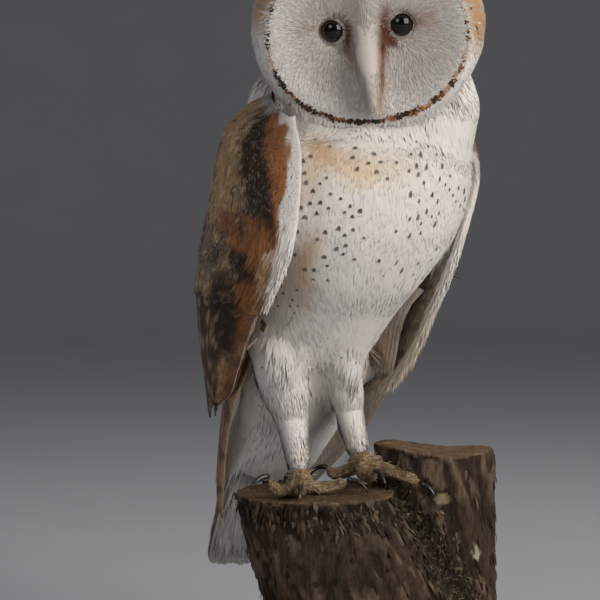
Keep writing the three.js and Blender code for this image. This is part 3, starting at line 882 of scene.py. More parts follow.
def build_spots(roots, material):
    """Small dark marks at the tips of the breast feathers: each is a pair of leaves, as a notched heart."""
    random = roots.random
    part = np.array([name.split("_")[0] for name in roots.owner])
    found = roots.scatter(np.isin(part, ("trunk", "thigh", "vent")), 0.06)
    at = bird.local(found["root"])
    x, y, z = at.T
    facing = found["normal"] @ np.array([0, -1, 0])
    crowd = 0.35 + 0.65 * bell(x + 36, 16) * smooth(z, 95, 130)
    crowd = crowd * smooth(z, 72, 100) * (1 - smooth(z, 184, 200)) * (1 - 0.6 * smooth(x, 20, 50))
    crowd = np.where(np.char.startswith(found["owner"], "thigh"), 0.09, crowd)
    crowd = np.where(np.char.startswith(found["owner"], "vent"), 0.03, crowd)
    crowd = crowd * smooth(facing, -0.25, 0.1)
    crowd = crowd * smooth(patches(at, 14, 61), 0.2, 0.65)
    chosen = random.random(len(x)) < 1.6 * crowd
    keep = []
    for i in np.flatnonzero(chosen):
        if all(np.linalg.norm(at[i] - at[k]) > 4.6 for k in keep):
            keep.append(i)
    root, normal, bake = (found[key][keep] for key in ("root", "normal", "bake"))
    owner, share = found["owner"][keep], found["share"][keep]
    x, y, z = at[keep].T
    count = len(keep)
    flow = lie(root, normal, owner, share)
    slant = bird.aim(np.stack([-0.55 * smooth(x, -10, 30), 0.2 + 0 * x, -np.ones(count)], -1))
    flow = across(flow + slant, normal)
    flow = turned(flow, normal, random.normal(0, 8, count))
    slim = smooth(x, -14, 14)
    length = (2.3 + 0.9 * slim) * random.uniform(0.55, 1.35, count)
    width = (1.35 - 0.45 * slim) * random.uniform(0.7, 1.25, count)
    leg = np.char.startswith(owner, "thigh")
    strength = random.uniform(0.0, 0.62, count) * (1 - 0.6 * leg) * (0.55 + 0.45 * smooth(-y, -10, 30))
    tone = blend(srgb(128, 116, 108), SOOT * 1.4, strength)
    length, width = length * (1 - 0.35 * leg), width * (1 - 0.45 * leg)
    root = root + normal * 0.75 * MM
    lobes = []
    for way in (-1, 1):
        lobes.append((root, normal, turned(flow, normal, way * random.uniform(10, 30, count) * (1 - 0.65 * slim)),
                      length * MM, width * MM, np.full(count, 0.15 * MM), tone, bake))
    both = [np.concatenate(pair) for pair in zip(*lobes)]
    piece = lay_tufts("breast_spots", material, *both, settle=False)
    ride(piece, "plumage_white")


# Long soft feathers over the seams of the coat: density, shortest, longest, width and most height in mm.
PLUMES = {
    "neck": (0.4, 12, 19, 2.2, 0.8),
}


def build_plumes(roots, material):
    """Long soft feathers that hang from one stretch of the coat over the next."""
    random = roots.random
    at = bird.local(roots.centre)
    part = np.array([name.split("_")[0] for name in roots.owner])
    edges = {
        "neck": (part == "neck") & (at[:, 2] < 208),
    }
    for name, (density, shortest, longest, width, height) in PLUMES.items():
        found = roots.scatter(edges[name], density)
        count = len(found["root"])
        flow = lie(found["root"], found["normal"], found["owner"], found["share"])
        flow = turned(flow, found["normal"], random.normal(0, 5, count))
        tone = plumage(found["root"] + flow * 12 * MM, found["owner"], found["share"])
        tone = tone * random.uniform(0.965, 1.02, count)[:, None]
        piece = lay_tufts(f"coat_{name}_plumes", material, found["root"] + found["normal"] * 0.4 * MM,
                          found["normal"], flow, random.uniform(shortest, longest, count) * MM,
                          random.uniform(0.65, 1.15, count) * width * MM,
                          random.uniform(0.4, 1, count) * height * MM, tone, found["bake"])
        ride(piece, "plumage_white")


def gaussian(rows, sigma, axis):
    """Rows blurred along one axis by so many cells, with their ends held."""
    reach = int(3 * sigma)
    weights = np.exp(-0.5 * (np.arange(-reach, reach + 1) / sigma) ** 2)
    weights = weights / weights.sum()
    padding = [(reach, reach) if i == axis else (0, 0) for i in range(rows.ndim)]
    padded = np.pad(rows, padding, mode="edge")
    size = rows.shape[axis]
    return sum(w * np.take(padded, range(i, i + size), axis=axis) for i, w in enumerate(weights))


def sampled(grid, row, column):
    """A grid's value between its cells, at rows of fractional places."""
    row = np.clip(row, 0, grid.shape[0] - 1.001)
    column = np.clip(column, 0, grid.shape[1] - 1.001)
    i, k = row.astype(int), column.astype(int)
    a, b = row - i, column - k
    return ((grid[i, k] * (1 - a) + grid[i + 1, k] * a) * (1 - b)
            + (grid[i, k + 1] * (1 - a) + grid[i + 1, k + 1] * a) * b)


def build_apron(material, random):
    """Plumage that runs smoothly from the belly on to the thighs, over the fold between them."""
    xs, zs, step, behind = np.arange(-62, 37, 2.0), np.arange(40, 150, 2.0), 2.0, 30.0
    depth = np.full((len(zs), len(xs)), behind)
    ahead = Vector(bird.aim((0, 1, 0)))
    for i, z in enumerate(zs):
        for k, x in enumerate(xs):
            hit = skin_tree.ray_cast(Vector(bird.world((x, -120, z))), ahead)
            if hit[0] is not None:
                depth[i, k] = min(behind, bird.local(np.array(hit[0]))[1])
    smoothed = gaussian(gaussian(depth, 5.5, 0), 2.0, 1)
    front = np.minimum(gaussian(np.minimum(smoothed, depth), 1.5, 0), depth) - 0.4
    front = depth - (depth - front) * smooth(zs, 60, 98)[:, None] - 0.5
    slope_z, slope_x = np.gradient(front, step)
    gap = depth - front
    count = 9000
    x, z = random.uniform(xs[0], xs[-1], count), random.uniform(48, 128, count)
    row, column = (z - zs[0]) / step, (x - xs[0]) / step
    near = sampled(gap, row, column)
    shallow = sampled(depth, row, column) < 24
    steep = np.abs(sampled(slope_x, row, column)) < 1.5
    keep = shallow & steep & (near < 13) & (x > -50 + 10 * (z > 96) * -1)
    keep &= random.random(count) < (1 - smooth(z, 116, 128)) * smooth(z, 48, 62)
    x, z, row, column = x[keep], z[keep], row[keep], column[keep]
    count = len(x)
    place = np.stack([x, sampled(front, row, column), z], -1)
    normal = unit(np.stack([sampled(slope_x, row, column), -np.ones(count), sampled(slope_z, row, column)], -1))
    flow = across(np.array([0.06, 0.0, -1.0]) + 0 * normal, normal)
    flow = turned(flow, normal, random.normal(0, 5, count) + 10 * (patches(place, 7, 81) - 0.5))
    root, facing = bird.world(place), bird.aim(normal)
    tone = plumage(root, np.full(count, "trunk"), np.full(count, 9.0))
    tone = tone * random.uniform(0.965, 1.02, count)[:, None]
    piece = lay_tufts("coat_apron", material, root, facing, bird.aim(flow), random.uniform(9, 17, count) * MM,
                      random.uniform(1.4, 2.5, count) * MM, random.uniform(0.1, 0.5, count) * MM, tone,
                      skin_map(root), settle=False)
    ride(piece, "plumage_white")


def build_sleeves(material, random):
    """Plumage that tapers smoothly from each thigh down on to its shank."""
    for side, (knee, heel, foot) in LEG_LINES.items():
        knee, heel, foot = (np.array(p, float) for p in (knee, heel, foot))
        above = heel + 0.62 * (knee - heel)
        bend = 0.72 * heel + 0.14 * (above + foot)
        line = [above, (above + bend) / 2, bend, (bend + foot) / 2, foot]
        steps, turns = np.linspace(0, 0.94, 30), np.linspace(-np.pi, np.pi, 29)
        axis = curve_through(line, steps)
        length = np.linalg.norm(np.diff(axis, axis=0), axis=1).sum()
        run = unit(gaussian(np.gradient(axis, axis=0), 3, 0))
        right = unit(np.cross(run, (0, -1, 0)))
        front = np.cross(right, run)
        spoke = (right[:, None] * np.sin(turns)[None, :, None] - front[:, None] * np.cos(turns)[None, :, None])
        if (spoke[15, 14] @ np.array([0, -1, 0])) < 0:
            spoke = -spoke
        radius = np.full(spoke.shape[:2], np.nan)
        for i in range(len(steps)):
            for k in range(len(turns)):
                start, aim = bird.world(axis[i] + 26 * spoke[i, k]), bird.aim(-spoke[i, k])
                hit = skin_tree.ray_cast(Vector(start), Vector(aim))
                if hit[0] is not None and 0.5 < hit[3] / MM < 28:
                    radius[i, k] = max(2, 26 - hit[3] / MM)
        usual = np.nanmedian(radius, axis=1)[:, None]
        radius = np.where(np.isnan(radius) | (radius > 1.45 * usual), usual, radius)
        smoothed = gaussian(gaussian(radius, 6.0, 0), 1.5, 1)
        sleeve = np.maximum(gaussian(np.maximum(smoothed, radius), 1.5, 0), radius)
        sleeve = sleeve - 1.1 + 2.2 * smooth(steps, 0.02, 0.3)[:, None]
        count = 3600
        share, turn = random.uniform(0, 0.86, count), random.uniform(-np.pi, np.pi, count)
        row, column = share / steps[-1] * (len(steps) - 1), (turn + np.pi) / (2 * np.pi) * (len(turns) - 1)
        centre = np.stack([sampled(np.repeat(axis[:, i:i + 1], 2, 1), row, 0 * row) for i in range(3)], -1)
        out = unit(np.stack([sampled(spoke[..., i], row, column) for i in range(3)], -1))
        down = unit(np.stack([sampled(np.repeat(run[:, i:i + 1], 2, 1), row, 0 * row) for i in range(3)], -1))
        reach = sampled(sleeve, row, column)
        slope = sampled(np.gradient(sleeve, length / len(steps), axis=0), row, column)
        normal = unit(out - 0.5 * down * slope[:, None])
        flow = turned(across(down, normal), normal, random.normal(0, 5, count))
        place = centre + out * reach[:, None]
        root, facing = bird.world(place), bird.aim(normal)
        tone = np.broadcast_to(WHITE, (count, 3)) * random.uniform(0.94, 1.02, count)[:, None]
        tone = blend(tone, BUFF, 0.4 * smooth(share, 0.62, 0.9) * random.random(count))
        shorter = 1 - 0.45 * smooth(share, 0.4, 0.8)
        piece = lay_tufts(f"coat_sleeve_{side}", material, root, facing, bird.aim(flow),
                          random.uniform(7, 12, count) * shorter * MM, random.uniform(1.0, 1.7, count) * shorter * MM,
                          random.uniform(0.1, 0.7, count) * MM, tone, skin_map(root), settle=False)
        ride(piece, "plumage_white")


def unwrap(piece):
    """Unfolds the skin by its own shape onto the map that the coat's tufts are placed on."""
    bpy.ops.object.select_all(action="DESELECT")
    piece.select_set(True)
    bpy.context.view_layer.objects.active = piece
    if "OFBake" not in piece.data.uv_layers:
        piece.data.uv_layers.new(name="OFBake")
    piece.data.uv_layers["OFBake"].active = True
    bpy.ops.object.mode_set(mode="EDIT")
    bpy.ops.mesh.select_all(action="SELECT")
    bpy.ops.uv.smart_project(angle_limit=math.radians(60), island_margin=0.002)
    bpy.ops.object.mode_set(mode="OBJECT")


def down_material():
    down = Nodes("soft_white_plumage", roughness=0.85, specular=0.2, Sheen_Weight=0.25, Sheen_Roughness=0.5)
    strand = down.uv("strand")
    tone = down.attribute("tone")
    streak = down.noise(down.stretched((60, 3, 1), strand), 1.0, 2.0)
    shade = down.step(streak, 0.2, 0.8, 0.9, 1.06)
    return down.finish(down.mix(1.0, tone, down.add("CombineColor", {0: shade, 1: shade, 2: shade}), "MULTIPLY"))


def skin_material():
    """The skin under the coat, marked as the coat is."""
    hide = Nodes("skin_under_plumage", roughness=0.9, specular=0.15)
    tone = hide.attribute("tone")
    grain = hide.noise(hide.stretched((500, 500, 160)), 1.0, 3.0)
    shade = hide.step(grain, 0.25, 0.75, 0.86, 0.98)
    colour = hide.mix(1.0, tone, hide.add("CombineColor", {0: shade, 1: shade, 2: shade}), "MULTIPLY")
    return hide.finish(colour, hide.bump(grain, 0.3 * MM))


def colour_skin(skin, owner):
    points = vertices_of(skin.data)
    layer = skin.data.attributes.new("tone", "FLOAT_COLOR", "POINT")
    full = np.ones((len(points), 4), np.float32)
    full[:, :3] = plumage(points, owner, face_share(points))
    layer.data.foreach_set("color", full.ravel())


# ---------------------------------------------------------------- vanes

# A vane is a sheet of rows along the feather and columns across it. Each outline gives shares along and of the width.
COVERT = (np.array([0, 0.3, 0.6, 0.8, 0.93, 1]), np.array([0.6, 0.95, 1, 0.86, 0.5, 0.14]))
LONG_ALONG = np.concatenate([np.linspace(0, 0.88, 17), [0.92, 0.955, 0.985, 1]])
FLIGHT = (LONG_ALONG, np.minimum(0.5 + 2.2 * LONG_ALONG, 1) * np.sqrt(1 - np.clip((LONG_ALONG - 0.82) / 0.185, 0, 1) ** 2))
POINTED = (LONG_ALONG, np.minimum(0.5 + 2.2 * LONG_ALONG, 1) * (1 - np.clip((LONG_ALONG - 0.45) / 0.56, 0, 1) ** 2.2))
VANE_THICKNESS = 0.32  # mm, along the shaft


def sheet_faces(rows, columns):
    """The faces of one closed sheet: an upper grid, a lower one turned over, and a rim between them."""
    top = np.arange(rows * columns).reshape(rows, columns)
    low = top + rows * columns
    a, b, c, d = top[:-1, :-1], top[:-1, 1:], top[1:, 1:], top[1:, :-1]
    upper = np.stack([a, b, c, d], -1).reshape(-1, 4)
    lower = (upper + rows * columns)[:, ::-1]
    ring = np.concatenate([top[0, :-1], top[:-1, -1], top[-1, :0:-1], top[:0:-1, 0]])
    following = np.roll(ring, -1)
    rim = np.stack([ring, ring + rows * columns, following + rows * columns, following], -1)
    return np.concatenate([upper, lower, rim])


def lay_sheets(name, material, place, normal, wide, paint, under=None):
    """Closed sheets from grids of points in mm in the owl's frame, indexed by sheet, row and column."""
    count, rows, columns = place.shape[:3]
    across_share = np.linspace(0, 1, columns)
    edge = 1 - 0.7 * (2 * across_share - 1) ** 2
    below = place - normal * (VANE_THICKNESS * edge)[None, None, :, None]
    points = np.stack([place, below], 1).reshape(count, -1, 3)
    facing = np.stack([normal, -normal], 1).reshape(count, -1, 3)
    template = sheet_faces(rows, columns)
    faces = (template[None] + np.arange(count)[:, None, None] * points.shape[1]).reshape(-1, 4)
    strand = np.stack(np.meshgrid(across_share, wide, indexing="xy"), -1)
    inset = 0.5 + (strand - 0.5) * np.array([0.94, 0.98])
    strand = np.stack([strand, inset]).reshape(-1, 2)
    cells = int(np.ceil(np.sqrt(count)))
    corner = np.stack([np.arange(count) % cells, np.arange(count) // cells], -1)
    patch = (corner[:, None] + 0.06 + 0.88 * strand[None]) / cells
    under = under or {}
    paint = {key: np.stack([value, under.get(key, value)], 1).reshape(-1, 3) for key, value in paint.items()}
    world = bird.world(points.reshape(-1, 3))
    volume = np.einsum("ij,ij->i", normal[:, 1, columns // 2],
                       np.cross(place[:, 2, columns // 2] - place[:, 1, columns // 2],
                                place[:, 1, columns // 2 + 1] - place[:, 1, columns // 2]))
    if volume.mean() > 0:
        faces = faces[:, ::-1]
    return mesh_of(
        name, world, [faces],
        {"OFBake": patch.reshape(-1, 2), "strand": np.tile(strand, (count, 1))},
        paint, material, bird.aim(facing.reshape(-1, 3)),
    )


def vanes_on(chart, face, u, t, run, width, lift, outline, columns, random, drift=0.0, cup=0.5, ragged=0.06):
    """Grids of points for feathers laid on a chart. lift is how high each root and tip lies, in mm."""
    along, wide = outline
    q = along[None, :, None]
    s = np.linspace(-1, 1, columns)[None, None, :]
    u, t, run, width = (np.broadcast_to(x, len(u)).astype(float)[:, None, None] for x in (u, t, run, width))
    low, high = (np.broadcast_to(x, len(u)).astype(float)[:, None, None] for x in lift)
    drift = np.broadcast_to(drift, len(u)).astype(float)[:, None, None]
    at_u = u + run * q + 0 * s
    worn = 1 - ragged * random.random((len(u), len(along), columns)) * np.abs(s) ** 3
    half = wide[None, :, None] * width / 2 / chart.chord(np.clip(at_u, 0, 1))
    at_t = t + drift * q + s * half * worn
    height = low + (high - low) * q + cup * (1 - s**2)
    place, normal = chart.at(at_u, at_t, face, face * height)
    return place, normal * face, at_u, at_t, q + 0 * s + 0 * u, s + 0 * q + 0 * u


# ---------------------------------------------------------------- wings

# The outer face of the wing, as soft-edged areas: u from and to, t from and to at the first u, how far t shifts
# per unit of u, colour, strength, and how far it is flecked.
WING_AREAS = [
    ("cream strip", 0.00, 0.50, 0.28, 0.62, 0.0, BUFF, 0.9, 0.35),
    ("rufous band", -0.1, 0.42, 0.04, 0.22, -0.28, RUFOUS * 1.15, 0.9, 0.15),
    ("charcoal patch", 0.02, 0.39, 0.21, 0.36, -0.5, UMBER * 0.6, 0.95, 0.75),
    ("rufous streaks", 0.37, 0.48, 0.05, 0.36, 0.0, RUFOUS, 0.9, 0.25),
    ("black bar", 0.455, 0.525, 0.04, 0.24, 0.0, SOOT, 0.95, 0.3),
    ("grey speckles", 0.43, 0.60, 0.25, 0.62, 0.0, SLATE, 0.7, 0.9),
    ("rufous patch", 0.50, 0.78, 0.01, 0.11, 0.0, RUFOUS, 0.95, 0.1),
    ("black strip", 0.54, 0.80, 0.10, 0.27, -0.25, SOOT, 0.95, 0.2),
    ("dark panel", 0.62, 1.20, 0.16, 0.70, -0.1, UMBER * 0.8, 0.92, 0.3),
    ("barred edge", 0.8, 1.20, -0.2, 0.07, 0.0, RUFOUS * 0.7, 0.9, 0.2),
]
LEADING_WHITE = 0.03  # share of the chord that is white along the leading edge
WHITE_TO = {"right": 0.52, "left": 0.72}  # u where the white of the leading edge runs out


def wing_tone(u, t, place, side):
    """Colour and marks (bars, flecks, shaft) of a wing's outer face at u, t."""
    shape = u.shape
    flat = place.reshape(-1, 3)
    fine = patches(flat, 2.0, 3).reshape(shape)
    broad = patches(flat, 9.0, 4).reshape(shape)
    grain = patches(flat * (1, 1, 0.3), 3.0, 6).reshape(shape)
    u = u + 0.03 * (broad - 0.5)
    t = t + 0.05 * (grain - 0.5)
    tone = blend(blend(GOLD, BUFF, broad), SLATE, 0.75 * smooth(fine, 0.3, 0.75))
    fleck = np.full(shape, 0.7)
    for _, u0, u1, t0, t1, lean, colour, strength, flecks in WING_AREAS:
        shift = lean * (u - max(u0, 0))
        inside = smooth(u, u0 - 0.015, u0 + 0.02) * (1 - smooth(u, u1 - 0.02, u1 + 0.015))
        inside = inside * smooth(t - shift, t0 - 0.015, t0 + 0.02) * (1 - smooth(t - shift, t1 - 0.03, t1 + 0.03))
        tone = blend(tone, colour, strength * inside)
        fleck = fleck * (1 - inside) + flecks * inside
    streak = smooth(patches(flat * (1, 1, 0.16), 2.2, 8).reshape(shape), 0.62, 0.8)
    tone = blend(tone, BUFF, 0.75 * streak * smooth(u, 0.5, 0.65) * smooth(t, 0.1, 0.2))
    tone = blend(tone, UMBER, 0.85 * streak * (1 - smooth(u, 0.5, 0.62)) * smooth(t, 0.1, 0.2))
    other = smooth(patches(flat * (1, 1, 0.2), 1.8, 9).reshape(shape), 0.66, 0.82)
    tone = blend(tone, blend(BUFF, CREAM, fine), 0.7 * other * smooth(t, 0.12, 0.25))
    edge = LEADING_WHITE * (0.4 + 0.6 * smooth(u, 0.05, 0.25)) * (1 - 0.9 * smooth(u, WHITE_TO[side] - 0.14, WHITE_TO[side]))
    white = (1 - smooth(t, edge - 0.01, edge + 0.015)) * (1 - smooth(u, WHITE_TO[side] - 0.04, WHITE_TO[side] + 0.04))
    white = np.maximum(white, 0.9 * (1 - smooth(u + 0.12 * (grain - 0.5), -0.02, 0.05)))
    tone = blend(tone, WHITE, white)
    marks = np.stack([0.55 * smooth(u, 0.6, 0.75), fleck * (1 - white), 0.3 * (1 - white)], -1)
    return tone, marks


def under_tone(u, t, place, side):
    """The same for a wing's inner face: white under the coverts, and grey-brown quills with faint bars."""
    shape = u.shape
    fine = patches(place.reshape(-1, 3), 4.0, 3).reshape(shape)
    tone = blend(WHITE, CREAM, 0.5 * fine)
    quill = smooth(u, 0.42, 0.56)
    tone = blend(tone, blend(SLATE * 1.2, BUFF, fine), 0.65 * quill)
    tone = blend(tone, UMBER, 0.8 * bell(u - 0.5, 0.05) * smooth(t, 0.1, 0.2))
    tone = blend(tone, CREAM, 0.8 * bell(u - 0.68, 0.08) * (1 - smooth(t, 0.2, 0.5)))
    tone = blend(tone, blend(GOLD, SLATE, fine), smooth(t, 0.78, 0.9))
    marks = np.stack([0.5 * quill, 0.1 + 0 * u, 0.2 + 0 * u], -1)
    return tone, marks


def lattice(chart, u_from, u_to, gap_u, gap_mm, t_from, t_to, random):
    """Staggered rows of feather roots on a chart, tip rows first."""
    us, ts = [], []
    for k, u in enumerate(np.arange(u_to, u_from, -gap_u)):
        step = gap_mm / chart.chord(np.array(u))
        row = np.arange(t_from + (k % 2) * step / 2, t_to, step)
        us.append(np.full(len(row), u))
        ts.append(row)
    u, t = np.concatenate(us), np.concatenate(ts)
    return u + random.normal(0, 0.12 * gap_u, len(u)), t + random.normal(0, 0.1 * gap_mm / 90, len(t))


WING_SIDES = {
    "right": Chart(RIGHT_WING, -1),
    "left": Chart(LEFT_WING, 1),
}
FACES = {"outer": 1, "inner": -1}


def build_wing(side, material, random):
    chart = WING_SIDES[side]
    for face_name, face in FACES.items():
        colour = wing_tone if face > 0 else under_tone
        tag = f"{side}_{face_name}"

        def lay(kind, roots, run, width, lift, outline, columns, **more):
            u, t = roots
            place, normal, at_u, at_t, q, s = vanes_on(
                chart, face, u, t, run, width, lift, outline, columns, random, **more)
            tone, marks = colour(at_u, at_t, place, side)
            tone = tone * random.uniform(0.8, 1.12, len(u))[:, None, None, None]
            # Painted shade: each vane is coloured darker towards its root, where the feathers above overlap it.
            tone = tone * (0.72 + 0.28 * smooth(q, 0.1, 0.75))[..., None]
            piece = lay_sheets(f"{kind}_{tag}", material, place, normal, outline[0],
                               {"tone": tone, "marks": marks})
            ride(piece, "plumage_buff")
            return piece

        flight_t = np.linspace(0.06, 0.97, 14)
        tips = 0.93 + 0.10 * np.sin(np.pi * np.clip(flight_t * 1.1, 0, 1)) + random.normal(0, 0.008, 14)
        lay("flight", (np.full(14, 0.44), flight_t), tips - 0.44, 15, (-1.6, -0.5), FLIGHT, 7,
            drift=0.02, cup=0.7, ragged=0.12)
        greater_t = np.linspace(0.03, 0.97, 17)
        lay("greater", (0.40 + random.normal(0, 0.006, 17), greater_t), random.uniform(0.23, 0.27, 17), 10,
            (-1.0, 0.1), FLIGHT, 5, cup=0.6, ragged=0.1)
        lay("coverts", lattice(chart, -0.03, 0.43, 0.03, 4.6, 0.075 if face > 0 else 0.14, 1.0, random), 0.1, 7.6,
            (-0.9, 0.7), COVERT, 5, cup=0.45, ragged=0.15)


def build_leading_edge(side, material, random):
    """Soft white feathers that wrap each wing's leading edge."""
    chart = WING_SIDES[side]
    count = 6500
    last = 0.56 if side == "right" else 0.9
    u = random.uniform(-0.02, last, count)
    turn = random.uniform(-1, 1, count)
    inner = 0.1 - 0.07 * smooth(u, 0.3, 0.55) if side == "right" else 0.03
    t = np.where(turn > 0, 0.115 * turn**1.5, inner * turn**2)
    face = np.where(turn > 0, 1.0, -1.0)
    place, normal = chart.at(u, t, face[:, None])
    ahead, _ = chart.at(u + 0.02, t, face[:, None])
    forward = unit(curve_through(chart.lead, u) - curve_through(chart.trail, u))
    facing = unit(normal * np.sign(turn)[:, None] * np.sqrt(np.abs(turn))[:, None]
                  + forward * np.sqrt(1 - np.abs(turn))[:, None])
    flow = across(ahead - place, facing)
    flow = turned(flow, facing, random.normal(0, 4, count))
    tone = np.broadcast_to(WHITE, (count, 3)) * random.uniform(0.92, 1.03, count)[:, None]
    tone = blend(tone, CREAM, 0.5 * smooth(u, 0.45, 0.7))
    outer, _ = wing_tone(u[:, None, None], t[:, None, None], place[:, None, None], side)
    tone = np.where((turn > 0)[:, None], outer.reshape(-1, 3) * random.uniform(0.85, 1.05, count)[:, None], tone)
    place = place + facing * 0.9
    slim = 1 - 0.6 * smooth(u, 0.35, 0.65)
    root = bird.world(place)
    piece = lay_tufts(f"leading_edge_{side}", material, root, bird.aim(facing), bird.aim(flow),
                      random.uniform(7, 12, count) * MM, random.uniform(1.2, 2.0, count) * slim * MM,
                      random.uniform(-0.9, -0.2, count) * MM, tone, skin_map(root), settle=False)
    ride(piece, "plumage_white")


def build_primaries(side, material, random):
    """The long quills, out from under the wing to their tips over the tail."""
    sign = -1 if side == "right" else 1
    chart = Chart(QUILLS, sign)
    count = 7
    root_u = -0.06 if side == "right" else -0.2
    order = np.arange(count) / (count - 1)
    t = 0.78 - 0.56 * order
    tips = 0.60 + 0.42 * order
    place, normal, u, at_t, q, s = vanes_on(
        chart, 1, np.full(count, root_u), t, tips - root_u, 15 - 3 * order, (-2.4 + 1.6 * order, -1.2 + 0.6 * order),
        POINTED, 7, random, cup=0.5, ragged=0.1)
    shape = u.shape
    grain = patches(place.reshape(-1, 3) * (1, 1, 0.25), 2.4, 12).reshape(shape)
    tone = blend(RUFOUS * 0.75, GOLD, grain)
    tone = blend(tone, UMBER, 0.75 * smooth(s * sign, -0.2, 0.9) * (1 - order)[:, None, None])
    edge = smooth(-s, 0.55, 0.9) * (order > 0.9)[:, None, None]
    tone = blend(tone, srgb(226, 206, 160), 0.85 * edge)
    marks = np.stack([0.9 * (1 - edge), 0.15 + 0 * u, 0.6 + 0 * u], -1)
    # Painted light: the quills' inner faces start from a white brighter than the owl's own, to lighten the shade that
    # they lie in.
    inside = blend(blend(WHITE * 1.1, CREAM, grain), BUFF, 0.6 * smooth(s, 0.3, 0.9) + 0 * grain)
    inside = blend(inside, WHITE, 0.8 * bell(s, 0.16))
    inner_marks = np.stack([0.25 + 0 * u, 0.05 + 0 * u, 0 * u], -1)
    piece = lay_sheets(f"primaries_{side}_quills", material, place, normal, POINTED[0],
                       {"tone": tone, "marks": marks}, {"tone": inside, "marks": inner_marks})
    ride(piece, "plumage_buff", f"primaries_{side}")


def build_tail(material, random):
    chart = Chart(TAIL, 1, (0, 1, 0))
    count = 12
    t = np.linspace(0.08, 0.92, count)
    middle = np.abs(np.linspace(-1, 1, count))
    for face_name, face in FACES.items():
        tips = 0.96 + 0.05 * (1 - middle) + random.normal(0, 0.006, count)
        place, normal, u, at_t, q, s = vanes_on(
            chart, face, np.full(count, -0.02), t, tips, 10.5, (-2.2 + middle, -0.9 + 0.6 * middle), FLIGHT, 7,
            random, cup=0.5, ragged=0.14)
        fine = patches(place.reshape(-1, 3), 3.0, 14).reshape(u.shape)
        veil = blend(blend(BUFF, GOLD, fine), SLATE, 0.5 * fine) if face > 0 else blend(PALE_GREY * 0.9, WHITE, fine)
        tone = blend(veil, WHITE * 0.9, smooth(q, 0.88, 1.0))
        marks = np.stack([(0.85 if face > 0 else 0.12) * (1 - 0.6 * q), 0.5 * (face > 0) + 0 * u, 0.15 + 0 * u], -1)
        piece = lay_sheets("tail_" + face_name, material, place, normal, FLIGHT[0], {"tone": tone, "marks": marks})
        ride(piece, "plumage_white", *(["tail"] if face > 0 else []))


def build_undertail(material, random):
    """Long white feathers that lie along the tail's lower face."""
    chart = Chart(TAIL, 1, (0, 1, 0))
    count = 2600
    u = random.uniform(-0.22, 0.6, count)
    t = random.uniform(0.04, 0.96, count)
    place, normal = chart.at(u, t, -1)
    ahead, _ = chart.at(u + 0.03, t, -1)
    facing = -normal
    place = place + facing * (3.0 * (1 - smooth(u, 0.3, 0.8)) * (1 - (2 * t - 1) ** 2))[:, None]
    flow = turned(across(ahead - place, facing), facing, random.normal(0, 6, count))
    tone = blend(WHITE, PALE_GREY, 0.5 * random.random(count))
    bake = np.stack([0.04 + 0.92 * t, 0.1 + u], -1)
    piece = lay_tufts("undertail_plumes", material, bird.world(place), bird.aim(facing), bird.aim(flow),
                      random.uniform(16, 30, count) * MM, random.uniform(1.8, 3.2, count) * MM,
                      random.uniform(0.1, 1.4, count) * MM, tone, bake, settle=False)
    ride(piece, "plumage_white")


DRAPES = {  # white plumage that closes the gaps round the owl's legs: rows as for a wing, and the way it faces
    "flank": ([
        ((-35, -2, 94), (-26, 60, 84), 4, 3),
        ((-27, 7, 66), (-24, 68, 56), 4, 3),
        ((-21, 16, 44), (-28, 82, 26), 3, 2.5),
        ((-23, 24, 22), (-30, 96, -4), 2, 2),
    ], (-1, 0, 0)),
    "under": ([
        ((-27, 30, 76), (16, 30, 76), 3, 3),
        ((-27, 42, 54), (19, 42, 54), 3, 3),
        ((-25, 58, 32), (20, 58, 32), 3, 2.5),
        ((-24, 74, 8), (18, 74, 8), 2, 2),
    ], (0, -1, 0)),
}


def build_drapes(material, white_down, random):
    for name, (rows, out) in DRAPES.items():
        chart = Chart(rows, 1, out)
        u, t = np.meshgrid(np.linspace(0, 0.95, 14), np.linspace(0, 1, 15), indexing="ij")
        place, normal = chart.at(u, t, 0)
        tone = np.broadcast_to(WHITE * 0.95, (*u.shape, 3))
        piece = lay_sheets(f"{name}_drape", material, place[None], normal[None], np.linspace(0, 1, 14),
                           {"tone": tone[None], "marks": 0 * tone[None]})
        ride(piece, "plumage_white")
        count = 3600
        u = random.uniform(-0.02, 0.85, count)
        t = random.uniform(0.0, 1.0, count)
        place, normal = chart.at(u, t, 0)
        ahead, _ = chart.at(u + 0.03, t, 0)
        clump = patches(place, 9, 71) - 0.5
        flow = turned(across(ahead - place, normal), normal, random.normal(0, 6, count) + 14 * clump)
        tone = blend(WHITE, PALE_GREY, 0.25 * random.random(count))
        bake = np.stack([0.04 + 0.92 * t, 0.08 + u], -1)
        piece = lay_tufts(f"{name}_drape_plumes", white_down, bird.world(place), bird.aim(normal), bird.aim(flow),
                          random.uniform(12, 22, count) * MM, random.uniform(1.4, 2.6, count) * MM,
                          random.uniform(0.1, 1.2, count) * MM, tone, bake, settle=False,
                          softness=0.6)
        ride(piece, "plumage_white")


